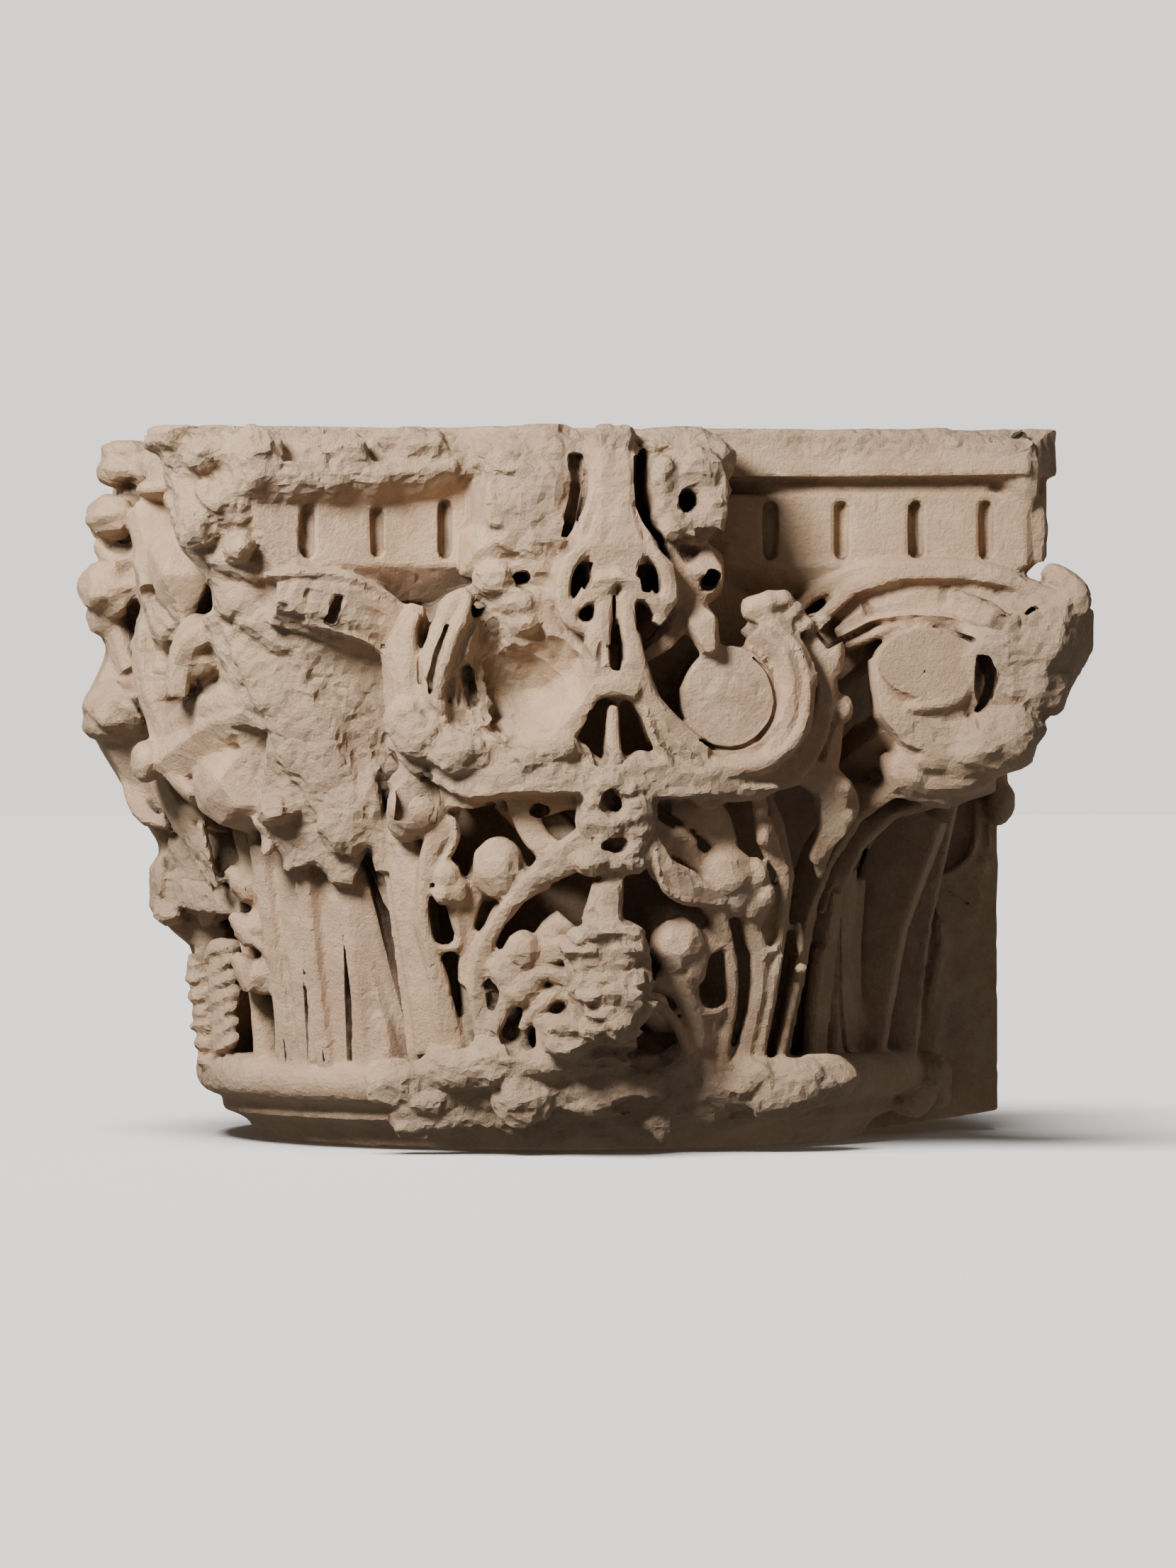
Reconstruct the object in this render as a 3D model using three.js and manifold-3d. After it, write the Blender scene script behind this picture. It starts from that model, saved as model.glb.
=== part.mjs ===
// A Corinthian capital of limestone, carved from one block together with a piece of the wall beside it.
// Millimetres. Z is up from the lower bed, the column's axis is the Z axis, and the front faces -Y.
// A spot is written [x, z, out]: out is the distance in front of the axis, so y = -out.
import * as THREE from "three";
import { mergeVertices } from "three/addons/utils/BufferGeometryUtils.js";
import Module from "manifold-3d";

const wasm = await Module();
wasm.setup();

// Driving dimensions.
const HEIGHT = 662;
const BACK = 200; // the flat back, behind the axis, where the stone was cut from the wall
const BED_RADIUS = 293;
const NECK_RADIUS = 326;
const TORUS = { ring: 331, tube: 21, height: 62 };
const BELL = { foot: 289, middle: 302, lip: 346, footHeight: 84, middleHeight: 300, lipHeight: 500, lap: 4 };
const HORN = 414; // half the side of the square that touches the four horns
const HORN_CUT = 34; // the canted tip of a horn of the slab
const SLAB_SAG = 72; // how far a side of the slab bends in at its middle
const FASCIA = { set: 22, foot: 536, top: 603, cut: 10, sag: 66 }; // set back, with a finer cant
const SOFFIT = { depth: 34, spread: 0.9 }; // the slope under the fascia
const HOLLOW = { set: 32, lap: 2 }; // the thin hollow course between fascia and slab
const SLAB_FOOT = 618;
const SLOT = { width: 13, foot: 541, length: 56, depth: 9, places: [-273, -208, -145, 154, 219, 285, 347] };
// The wall piece: how far it goes to the side and the front, its outline at the foot and the top.
const WALL = {
  side: 427, front: 18, rise: 20, inner: 120, toe: 300, below: 8, shoulder: 60, chamfer: 14, cover: 40,
};
const SCROLL = { x: 106, z: 414, radius: 45 };
const EYE = { x: 289, z: 445, out: 402, radius: 43 };

// The break at the left front corner: its place on the diagonal, its lean for its height, and its cutter.
const CORNER = { reach: 503, height: 600, lean: 0.43, wide: 500, deep: 200, tall: 300 };
const FRONT_BEVEL = 0.75; // the front of a four-sided band over its back
const GRAIN = 9; // the length over which a broken surface changes
const WELD = 1e-4; // points closer than this are one
const NECK_STEP = { out: 10, foot: 16, top: 26, end: 40 }; // the neck's chamfer above the bed
const SECTION_ANGLES = [-72, -26, 26, 72]; // corners of the torus ring, degrees from level
const TURNS = 24; // sides of the turned body

const STONE = new THREE.MeshStandardMaterial({ color: 0xc4ab94, roughness: 0.92, metalness: 0 });

// ---------------------------------------------------------------- tools

const toPoint = ([x, z, out]) => new THREE.Vector3(x, -out, z);

/** Turns a closed geometry into a manifold solid. */
function solid(geometry) {
  const bare = geometry.index ? geometry.clone() : geometry;
  bare.deleteAttribute("normal");
  bare.deleteAttribute("uv");
  const merged = mergeVertices(bare, WELD);
  return new wasm.Manifold(new wasm.Mesh({
    numProp: 3,
    vertProperties: new Float32Array(merged.attributes.position.array),
    triVerts: new Uint32Array(merged.index.array),
  }));
}

/** A smooth unevenness between -1 and 1, the same at the same place. */
function uneven(x, y, z, seed) {
  return (Math.sin(x * 1.7 + seed) + Math.sin(y * 2.3 + 2 * seed) + Math.sin(z * 1.9 + 3 * seed)
    + Math.sin((x + y - z) * 1.3 + 5 * seed)) / 4;
}

/** The value of a number, or of a list spread evenly over 0 to 1, at a place along it. */
function valueAt(list, along) {
  if (!Array.isArray(list)) return list;
  const place = along * (list.length - 1);
  const below = Math.min(Math.floor(place), list.length - 2);
  return THREE.MathUtils.lerp(list[below], list[below + 1], place - below);
}

/**
 * A carved band: a section of four or six sides swept along a smooth route, closed at its ends.
 * The route runs along the front of the band, half is half its width and thick its depth.
 * A four-sided band has bevelled sides, so its front is narrower than its back.
 * The front looks along -Y, or away from the axis (radial), or away from the spot `hub`.
 */
function band(route, half, thick, options = {}) {
  const { sides = 4, steps = route.length - 1, radial = false, hub = null, rough = 0 } = options;
  const curve = new THREE.CatmullRomCurve3(route.map(toPoint), false, "centripetal");
  const geometry = new THREE.CylinderGeometry(1, 1, 1, sides, steps, false, Math.PI / sides);
  const reach = 1 / Math.cos(Math.PI / sides);
  const place = geometry.attributes.position;
  for (let i = 0; i < place.count; i++) {
    const along = place.getY(i) + 0.5;
    const centre = curve.getPoint(along);
    const ahead = curve.getTangent(along);
    const front = new THREE.Vector3(0, -1, 0);
    if (radial) front.set(centre.x, centre.y, 0);
    if (hub) front.subVectors(centre, toPoint(hub));
    const across = new THREE.Vector3().crossVectors(ahead, front).normalize();
    const outward = new THREE.Vector3().crossVectors(across, ahead).normalize();
    const grain = centre.clone().divideScalar(GRAIN);
    const wave = 1 + rough * uneven(grain.x + place.getX(i) * 2, grain.y, grain.z + place.getZ(i), 3);
    const bevel = sides === 4 && place.getZ(i) > 0 ? FRONT_BEVEL : 1;
    centre.addScaledVector(across, bevel * reach * place.getX(i) * valueAt(half, along) * wave);
    centre.addScaledVector(outward, (reach * place.getZ(i) - 1) * valueAt(thick, along) * wave / 2);
    place.setXYZ(i, centre.x, centre.y, centre.z);
  }
  return solid(geometry);
}

/** A rounded, slightly uneven lump about a spot; the radii go with x, z and out. */
function lump([x, z, out], [rx, rz, rout], { detail = 1, rough = 0.1, seed = 1 } = {}) {
  const ball = new THREE.IcosahedronGeometry(1, detail);
  ball.deleteAttribute("normal");
  ball.deleteAttribute("uv");
  const geometry = mergeVertices(ball, WELD);
  const place = geometry.attributes.position;
  for (let i = 0; i < place.count; i++) {
    const [u, v, w] = [place.getX(i), place.getY(i), place.getZ(i)];
    const swell = 1 + rough * uneven(3 * u, 3 * v, 3 * w, seed);
    place.setXYZ(i, x + u * rx * swell, -out + v * rout * swell, z + w * rz * swell);
  }
  return solid(geometry);
}

/** A round boss whose flat face looks along -Y; its back is narrower or wider by the factor flare. */
function drum([x, z, out], rx, rz, depth, { sides = 14, flare = 1 } = {}) {
  const geometry = new THREE.CylinderGeometry(flare, 1, depth, sides);
  geometry.scale(rx, 1, rz);
  geometry.translate(x, -out + depth / 2, z);
  return solid(geometry);
}

/** A drilled hole, round or oval, sunk along Y from the spot. */
const drill = (spot, rx, rz, depth) => drum(spot, rx, rz, depth, { sides: 6 });

/** A slot cutter with round ends, upright, sunk into a face that looks along -Y. */
function slot(x, out, { width, foot, length, depth }) {
  const r = width / 2;
  const shape = new THREE.Shape();
  shape.absarc(0, length - r, r, 0, Math.PI);
  shape.absarc(0, r, r, Math.PI, 2 * Math.PI);
  const options = { depth: 2 * depth, bevelEnabled: false, curveSegments: 2 };
  const geometry = new THREE.ExtrudeGeometry(shape, options);
  geometry.rotateX(Math.PI / 2);
  geometry.translate(x, -out + depth, foot);
  return solid(geometry);
}

/** A box from its lowest to its highest corner, each written [x, y, z]. */
function box(low, high) {
  const size = high.map((value, i) => value - low[i]);
  const geometry = new THREE.BoxGeometry(...size);
  geometry.translate(...low.map((value, i) => value + size[i] / 2));
  return solid(geometry);
}

/** Turns a solid about the column's axis: from the front to the right side, or half round. */
const toRightSide = (piece) => piece.rotate([0, 0, 90]);
const halfRound = (piece) => piece.rotate([0, 0, 180]);

const joined = (pieces) => pieces.reduce((sum, piece) => sum.add(piece));

// ---------------------------------------------------------------- the body of the capital

/** Neck, torus ring, bell and its lip, turned about the axis. */
function bell() {
  const profile = [
    [0, 0], [BED_RADIUS, 0], [BED_RADIUS + NECK_STEP.out, NECK_STEP.foot], [NECK_RADIUS, NECK_STEP.top],
    [NECK_RADIUS, NECK_STEP.end],
  ];
  for (const degrees of SECTION_ANGLES) {
    const angle = THREE.MathUtils.degToRad(degrees);
    profile.push([TORUS.ring + TORUS.tube * Math.cos(angle), TORUS.height + TORUS.tube * Math.sin(angle)]);
  }
  const top = FASCIA.foot + BELL.lap;
  profile.push([BELL.foot, BELL.footHeight], [BELL.middle, BELL.middleHeight], [BELL.lip, BELL.lipHeight]);
  profile.push([BELL.lip, top], [0, top]);
  const lathe = new THREE.LatheGeometry(profile.map(([r, z]) => new THREE.Vector2(r, z)), TURNS);
  lathe.rotateX(Math.PI / 2);
  return solid(lathe);
}

/** The plan of one course of the abacus: four sides that bend in, between canted horns. */
function abacusPlan(half, cut, sag) {
  const shape = new THREE.Shape();
  const tip = half - cut;
  const quarters = [[1, 0, 0, 1], [0, 1, -1, 0], [-1, 0, 0, -1], [0, -1, 1, 0]];
  quarters.forEach(([a, b, c, d], i) => {
    const turn = (x, y) => [a * x + c * y, b * x + d * y];
    if (i === 0) shape.moveTo(...turn(-tip, -half));
    else shape.lineTo(...turn(-tip, -half));
    shape.quadraticCurveTo(...turn(0, 2 * sag - half), ...turn(tip, -half));
  });
  return shape;
}

/** One course of the abacus from foot to top; spread scales its foot, for a sloping underside. */
function course(plan, foot, top, spread = 1) {
  const options = { depth: top - foot, bevelEnabled: false, curveSegments: 4 };
  const geometry = new THREE.ExtrudeGeometry(plan, options);
  const place = geometry.attributes.position;
  for (let i = 0; i < place.count; i++) {
    const scale = place.getZ(i) < 1 ? spread : 1;
    place.setXYZ(i, place.getX(i) * scale, place.getY(i) * scale, place.getZ(i) + foot);
  }
  return solid(geometry);
}

/** The depth of the fascia in front of the axis at a place across a side. */
function fasciaOut(x) {
  const half = HORN - FASCIA.set;
  const reach = x / (half - FASCIA.cut);
  return half - FASCIA.sag * (1 - reach * reach);
}

/** The abacus: soffit, fascia with its slots, hollow and top slab. */
function abacus() {
  const fascia = abacusPlan(HORN - FASCIA.set, FASCIA.cut, FASCIA.sag);
  const hollow = abacusPlan(HORN - HOLLOW.set, HORN_CUT, FASCIA.sag);
  const slab = abacusPlan(HORN, HORN_CUT, SLAB_SAG);
  const body = joined([
    course(fascia, FASCIA.foot - SOFFIT.depth, FASCIA.foot, SOFFIT.spread),
    course(fascia, FASCIA.foot, FASCIA.top),
    course(hollow, FASCIA.top - HOLLOW.lap, SLAB_FOOT + HOLLOW.lap),
    course(slab, SLAB_FOOT, HEIGHT),
  ]);
  return body.subtract(joined(SLOT.places.map((x) => slot(x, fasciaOut(x), SLOT))));
}

/** The piece of wall that the capital is carved with, at its right and back. */
function wallBlock() {
  const { side, front, rise, inner, toe, below, shoulder, chamfer, cover } = WALL;
  const outline = [
    [inner, 0], [toe, 0], [side, rise], [side, HEIGHT - shoulder], [side - chamfer, HEIGHT - below],
    [inner, HEIGHT - below],
  ];
  const shape = new THREE.Shape(outline.map(([x, z]) => new THREE.Vector2(x, z)));
  const geometry = new THREE.ExtrudeGeometry(shape, { depth: BACK + front + cover, bevelEnabled: false });
  geometry.rotateX(Math.PI / 2);
  geometry.translate(0, BACK + cover, 0);
  return solid(geometry);
}

// ---------------------------------------------------------------- the carving of the front

/** The flower at the middle of the abacus: a tongue between two broken bosses. */
function fleuron() {
  return [
    band([
      [-1, 660, 424], [-1, 621, 432], [-1, 583, 436], [-1, 550, 440], [-1, 515, 434],
    ], [26, 22, 27, 42, 30], 110, { sides: 6 }),
    drum([-82, 590, 420], 36, 48, 100, { sides: 10, flare: 1.25 }),
    lump([-76, 640, 352], [58, 34, 72], { detail: 0, seed: 3 }),
    drum([72, 600, 432], 31, 42, 110, { sides: 10, flare: 1.3 }),
    lump([58, 642, 352], [52, 28, 72], { detail: 0, seed: 5 }),
    lump([84, 528, 360], [27, 36, 80], { detail: 0, seed: 6 }),
    lump([-106, 548, 350], [32, 38, 66], { detail: 0, seed: 7 }),
    band([[62, 512, 400], [80, 484, 424], [86, 456, 428]], [8, 16, 6], 24),
  ];
}

/** The open knotwork that hangs below the tongue, and the two stems that come out of it. */
function hangingKnot() {
  const pieces = [
    band([[-44, 492, 440], [0, 524, 446], [43, 495, 440]], [6, 9, 6], 30),
    band([[0, 540, 380], [-1, 500, 384], [-1, 462, 376]], [44, 50, 34], 100, { sides: 6 }),
    band([[-13, 455, 445], [-24, 424, 436], [-43, 392, 424], [-74, 366, 410]], [8, 12, 16, 18], 44),
    band([[13, 455, 445], [25, 416, 438], [50, 378, 428], [92, 354, 415]], [8, 11, 15, 15], 44),
    band([[-14, 438, 443], [14, 438, 443]], 7, 30),
    band([[0, 438, 424], [-3, 340, 430]], [6, 8], 26),
  ];
  for (const side of [-1, 1]) {
    const loop = [
      [side * 24, 553, 438], [side * 46, 532, 438], [side * 50, 505, 438], [side * 36, 480, 436],
    ];
    const crescent = [
      [side * 46, 560, 408], [side * 66, 520, 412], [side * 58, 474, 408], [side * 20, 447, 404],
    ];
    pieces.push(
      band(loop, [7, 9, 9, 6], 30),
      band(crescent, [6, 8, 9, 7], 34, { steps: 4 }),
      band([[side * 10, 516, 440], [side * 13, 445, 446]], [7, 8], 34),
    );
  }
  return pieces;
}

/** The whole scroll at the right: a disc inside two curling rims, with leaf tips on its back. */
function rightScroll() {
  const { x, z, radius } = SCROLL;
  const inner = [
    [x + 28, z + 66, 420], [x + 56, z + 38, 420], [x + 61, z, 418], [x + 36, z - 40, 414],
    [x - 6, z - 54, 410], [x - 41, z - 36, 404],
  ];
  const outer = [
    [x + 34, z + 84, 412], [x + 66, z + 50, 414], [x + 77, z + 8, 416], [x + 58, z - 48, 418], [x + 12, z - 69, 420],
    [x - 34, z - 60, 420], [x - 64, z - 34, 420],
  ];
  return [
    drum([x, z, 408], radius, radius, 110, { flare: 0.8 }),
    band(inner, [6, 8, 8, 9, 8, 6], 34, { steps: 6, hub: [x, z, 300] }),
    band(outer, [8, 9, 9, 10, 9, 10, 8], 44, { steps: 7, hub: [x, z, 300] }),
    lump([x + 28, z + 82, 400], [20, 16, 20], { detail: 0, seed: 8 }),
    band([
      [x + 78, z + 78, 396], [x + 93, z + 40, 398], [x + 88, z - 4, 392], [x + 76, z - 50, 386],
    ], [9, 12, 12, 10], 40, { rough: 0.2 }),
    band([
      [x + 70, z - 62, 384], [x + 100, z - 80, 376], [x + 104, z - 118, 368], [x + 84, z - 150, 358],
    ], [16, 18, 16, 6], 24),
    band([[x + 66, z + 20, 376], [x + 70, z - 30, 366]], [26, 22], 110),
  ];
}

/** The left scroll: its disc is lost and leaves a hollow between ragged rims. */
function leftScroll() {
  return [
    drum([-90, 420, 394], 60, 60, 110, { sides: 12, flare: 0.92 }),
    band([
      [-124, 512, 388], [-150, 478, 400], [-163, 443, 398], [-164, 400, 392],
    ], [10, 11, 12, 10], 46, { rough: 0.2 }),
    band([[-104, 500, 392], [-131, 469, 404], [-140, 433, 402], [-136, 394, 396]], [7, 9, 9, 8], 34),
    band([[-172, 500, 366], [-188, 456, 378], [-184, 398, 378]], [12, 17, 16], 50, { sides: 6 }),
    lump([-160, 380, 366], [50, 34, 38], { detail: 0, rough: 0, seed: 11 }),
    band([
      [-146, 382, 404], [-108, 360, 412], [-72, 362, 420], [-44, 382, 430], [-26, 412, 437],
    ], [12, 14, 14, 12, 9], 50),
    band([[-96, 500, 372], [-52, 470, 392]], [16, 8], 60),
  ];
}

/** The broken upper edge of the lower leaves, its knot in the middle and what joins it to the bell. */
function leafEdge() {
  const edge = [
    [-200, 378, 372], [-169, 352, 395], [-132, 335, 412], [-89, 340, 430], [-52, 344, 436], [-7, 338, 442],
    [38, 335, 436], [84, 338, 430], [125, 334, 415], [176, 345, 392],
  ];
  const pieces = [
    band(edge, [12, 15, 15, 14, 16, 20, 15, 14, 13, 10], 46, { rough: 0.2 }),
    band([[1, 334, 438], [1, 262, 438]], [34, 30], 40, { sides: 6, rough: 0.2 }),
    band([[-1, 264, 427], [-2, 205, 425]], [12, 12], 26),
    band([[-96, 330, 378], [-64, 306, 380], [-30, 276, 398]], [16, 24, 14], 16),
  ];
  for (const x of [-140, 62]) {
    pieces.push(band([[x * 0.75, 352, 280], [x, 345, 394]], [24, 18], 30, { hub: [x, 100, 340] }));
  }
  return pieces;
}

/** The straps, stems and buds that rise from the ring at the left of the middle. */
function leftStraps() {
  return [
    band([
      [-26, 292, 434], [-81, 243, 408], [-115, 186, 377], [-118, 146, 362], [-104, 84, 350],
    ], [9, 10, 8, 9, 12], 26, { steps: 5 }),
    lump([-104, 254, 352], [24, 26, 26], { rough: 0.05, seed: 12 }),
    band([[-104, 240, 352], [-126, 170, 344], [-118, 78, 346]], [12, 8, 9], 30),
    band([[-139, 266, 366], [-134, 232, 364], [-126, 180, 346]], [5, 8, 5], 22),
    band([
      [-139, 310, 376], [-171, 248, 362], [-164, 186, 354], [-147, 140, 347], [-131, 80, 342],
    ], [5, 7, 7, 8, 10], 28, { steps: 5 }),
    lump([-171, 322, 340], [27, 28, 44], { rough: 0.05, seed: 14 }),
    band([
      [-174, 302, 334], [-181, 230, 322], [-166, 130, 322], [-152, 78, 330],
    ], [15, 14, 13, 15], 44, { radial: true }),
    band([[-200, 298, 318], [-172, 80, 318]], [8, 7], 34, { radial: true }),
    band([[-80, 84, 366], [-69, 132, 378], [-20, 168, 402]], [9, 9, 7], 26, { steps: 3, rough: 0.2 }),
    band([[-96, 170, 376], [-84, 180, 392], [-30, 190, 404]], [10, 12, 11], 26),
    band([[-96, 186, 366], [-93, 150, 360], [-80, 84, 356]], [10, 16, 9], 24),
  ];
}

/** The straps, stems and buds at the right of the middle, and the folded leaf above them. */
function rightStraps() {
  return [
    band([[26, 296, 430], [46, 258, 426], [72, 240, 414], [108, 232, 392]], [9, 14, 11, 7], 22),
    band([[34, 300, 420], [92, 258, 384]], [10, 14], 30),
    lump([102, 252, 352], [28, 24, 30], { rough: 0.05, seed: 16 }),
    band([[112, 254, 362], [146, 240, 364], [144, 184, 352]], [9, 12, 6], 26),
    band([
      [84, 230, 394], [108, 199, 382], [117, 150, 366], [106, 80, 350],
    ], [6, 6, 6, 8], 26, { steps: 4 }),
    band([[98, 210, 386], [76, 173, 374], [78, 139, 362], [92, 80, 350]], [6, 10, 10, 11], 26),
    band([
      [139, 340, 376], [166, 270, 360], [161, 185, 349], [139, 80, 342],
    ], [6, 9, 6, 11], 28, { steps: 5 }),
    band([[140, 258, 360], [150, 225, 354], [154, 146, 346]], [7, 6, 5], 24),
    band([
      [52, 206, 372], [56, 180, 376], [69, 134, 364], [80, 80, 350],
    ], [12, 19, 9, 10], 30, { sides: 6 }),
    band([[183, 180, 334], [164, 78, 328]], [6, 5], 40),
  ];
}

/** The worn bud in the middle, like a pine cone, and the broken stone over the ring. */
function brokenFoot() {
  return [
    lump([-2, 158, 396], [43, 58, 40], { rough: 0.2, seed: 18 }),
    lump([-34, 112, 386], [40, 24, 34], { detail: 0, rough: 0.1, seed: 20 }),
    band([[-1, 160, 400], [-1, 150, 280]], [24, 30], 60, { steps: 1, hub: [0, 60, 330] }),
    band([
      [-150, 74, 344], [-96, 72, 356], [-40, 70, 366], [20, 66, 366], [80, 70, 352], [122, 72, 342],
    ], [26, 34, 42, 42, 34, 24], 100,
      { sides: 6, rough: 0.14, radial: true }),
    lump([152, 58, 314], [30, 24, 34], { detail: 0, seed: 22 }),
  ];
}

/** The stalks and soft folds on the bell towards the two corners. */
function cornerStalks() {
  const stalks = [
    {
      route: [[201, 222, 300], [214, 262, 318], [238, 305, 335], [268, 328, 350], [312, 325, 366]],
      half: [6, 6, 7, 7, 9],
      thick: 40,
    },
    {
      route: [[232, 232, 262], [248, 279, 296], [272, 306, 316], [310, 318, 336]],
      half: [5, 5, 6, 7],
      thick: 30,
    },
    { route: [[201, 222, 300], [190, 150, 280], [178, 80, 262]], half: [8, 9, 10], thick: 44 },
    { route: [[232, 236, 252], [226, 160, 236], [218, 80, 228]], half: [10, 12, 14], thick: 44 },
    { route: [[-276, 290, 276], [-264, 180, 258], [-250, 80, 244]], half: [12, 11, 12], thick: 30 },
    { route: [[-240, 280, 290], [-228, 180, 276], [-216, 80, 268]], half: [10, 9, 8], thick: 30 },
    { route: [[-312, 280, 226], [-296, 180, 212], [-280, 80, 202]], half: [12, 11, 12], thick: 30 },
  ];
  return stalks.map(({ route, half, thick }) => band(route, half, thick, { radial: true }));
}

/** The volute under the right-hand horn, with its front and side coils meeting on the diagonal. */
function rightVolute() {
  const { x, z, out, radius } = EYE;
  const keel = [
    [318, 528, 298], [392, 524, 370], [428, 500, 420], [424, 462, 424], [404, 420, 404], [378, 386, 378],
    [334, 356, 334], [262, 322, 262],
  ];
  const keelThick = [90, 110, 100, 110, 120, 110, 90, 60];
  const coil = [
    [190, 482, 350], [227, 517, 360], [269, 530, 376], [315, 530, 392], [356, 525, 406], [398, 508, 416],
  ];
  const hollow = [[212, 474, 346], [240, 491, 358], [282, 497, 374], [320, 493, 390], [356, 474, 402]];
  const lip = [[248, 438, 396], [255, 405, 398], [277, 382, 400], [316, 374, 402]];
  return [
    band(keel, [50, 44, 38, 46, 52, 56, 62, 44], keelThick, { sides: 6, hub: [250, 450, 250], rough: 0.07 }),
    band([
      [196, 470, 240], [232, 500, 262], [300, 520, 300],
    ], [40, 40, 50], 60, { sides: 6, hub: [300, 300, 300] }),
    band(coil, [7, 8, 8, 8, 8, 10], 40, { hub: [x, 450, -300] }),
    band(hollow, [7, 7, 7, 7, 9], 40, { hub: [x, 450, -300] }),
    band([[216, 494, 340], [282, 514, 366], [350, 502, 392]], [14, 16, 18], 50, { hub: [x, 450, -300] }),
    band(lip, [9, 14, 18, 16], 60, { hub: [x, 450, -300] }),
    drum([x, z, out], radius, radius - 7, 90, { flare: 0.86 }),
    toRightSide(drum([-x, z, out], radius, radius - 7, 90, { sides: 10, flare: 0.86 })),
  ];
}

/** What is left of the volute and horn at the left corner: a rough stump and a length of its channel. */
function leftStump() {
  const stump = [
    [-362, 616, 362], [-342, 560, 342], [-320, 480, 320], [-302, 400, 302], [-286, 330, 286], [-262, 262, 262],
    [-242, 80, 242],
  ];
  const stumpThick = [100, 130, 150, 140, 120, 90, 60];
  const channel = [[-300, 516, 386], [-256, 508, 380], [-214, 490, 366], [-184, 458, 346], [-172, 424, 330]];
  return [
    band(stump, [24, 44, 84, 92, 84, 70, 62], stumpThick, { sides: 6, radial: true, rough: 0.08 }),
    band(channel, [26, 26, 26, 22, 16], 60, { sides: 6, hub: [-260, 420, 100] }),
  ];
}

// ---------------------------------------------------------------- the carving of the left side

/** The left side: the same ornament, worn, and seen mostly from its end. */
function leftSide() {
  const outline = [
    [-424, 656, 10], [-430, 618, 10], [-428, 566, 10], [-462, 524, 10], [-434, 470, 10], [-462, 404, 10],
    [-434, 358, 10], [-412, 320, 10], [-386, 276, 10], [-398, 238, 10], [-382, 200, 10], [-356, 182, 10],
    [-352, 130, 10], [-336, 76, 10],
  ];
  const half = [90, 96, 76, 66, 84, 92, 80, 64, 40, 36, 34, 42, 46, 30];
  const thick = [70, 90, 80, 100, 110, 130, 110, 90, 80, 90, 70, 60, 60, 40];
  return [
    band(outline, half, thick, { sides: 6, radial: true, rough: 0.08 }),
    lump([-424, 585, 84], [36, 27, 40], { rough: 0.04, seed: 33 }),
    lump([-374, 530, 170], [42, 60, 90], { detail: 0, seed: 34 }),
    band([
      [-404, 520, 104], [-420, 470, 130], [-412, 420, 146], [-388, 367, 170],
    ], [22, 18, 16, 12], 80, { radial: true }),
    band([[-404, 360, 100], [-376, 300, 120], [-344, 246, 140]], [20, 22, 18], 70, { radial: true }),
    band([[-392, 246, 30], [-368, 232, 90], [-320, 226, 150]], [17, 20, 16], 80, { radial: true }),
    lump([-306, 242, 168], [20, 24, 34], { detail: 0, seed: 39 }),
    lump([-302, 202, 172], [20, 24, 34], { detail: 0, seed: 40 }),
    lump([-298, 158, 176], [20, 22, 34], { detail: 0, seed: 41 }),
    band([
      [-402, 366, 180], [-366, 398, 250], [-320, 420, 312],
    ], [24, 23, 21], 50, { sides: 6, hub: [-260, 330, 160] }),
    band([[-396, 452, 150], [-330, 474, 292]], [22, 20], 60, { sides: 6, hub: [-250, 440, 140] }),
    lump([-316, 338, 222], [54, 46, 70], { rough: 0.07, seed: 42 }),
    band([[-316, 300, 218], [-296, 200, 212], [-278, 80, 196]], [10, 9, 10], 50, { radial: true }),
  ];
}

/** Half a side, kept plain, as at the right before the wall: a scroll, a leaf edge, stalks, half a flower. */
function plainHalfSide() {
  const { x, z, radius } = SCROLL;
  return [
    toRightSide(drum([-x, z, 396], radius, radius, 110, { sides: 12, flare: 0.9 })),
    band([
      [396, 372, 0], [408, 344, 110], [372, 340, 200],
    ], [30, 26, 18], 90, { sides: 6, steps: 2, radial: true }),
    band([[372, 318, 100], [346, 200, 100], [334, 80, 96]], [22, 16, 14], 60, { steps: 2, radial: true }),
    band([[346, 300, 180], [310, 200, 165], [290, 80, 156]], [16, 12, 12], 60, { steps: 2, radial: true }),
    lump([366, 590, 40], [44, 50, 50], { detail: 0, seed: 51 }),
  ];
}

// ---------------------------------------------------------------- what is cut away

/** Drilled holes, eyes and windows of the open carving. */
function drillings() {
  return [
    drill([67, 592, 470], 10, 10, 84),
    drill([86, 519, 460], 9, 9, 70),
    drill([-106, 563, 440], 11, 7, 60),
    drill([-31, 524, 460], 6, 15, 60),
    drill([30, 524, 460], 9, 13, 60),
    drill([1, 319, 460], 10, 10, 40),
    drill([1, 284, 460], 15, 7, 34),
    drill([-74, 306, 460], 7, 7, 110),
    band([
      [-33, 640, 470], [-30, 602, 470], [-33, 576, 470], [-46, 552, 470],
    ], [6, 7, 7, 6], 84, { steps: 3 }),
    band([[25, 640, 470], [24, 600, 470], [29, 572, 470], [46, 549, 470]], [6, 7, 7, 6], 84, { steps: 3 }),
    lump([-90, 424, 432], [58, 50, 74], { rough: 0.16, seed: 61 }),
    slot(-250, 384, { width: 9, foot: 484, length: 24, depth: 16 }),
    slot(239, 372, { width: 9, foot: 494, length: 20, depth: 12 }),
    slot(314, 392, { width: 9, foot: 503, length: 18, depth: 12 }),
  ];
}

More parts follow.
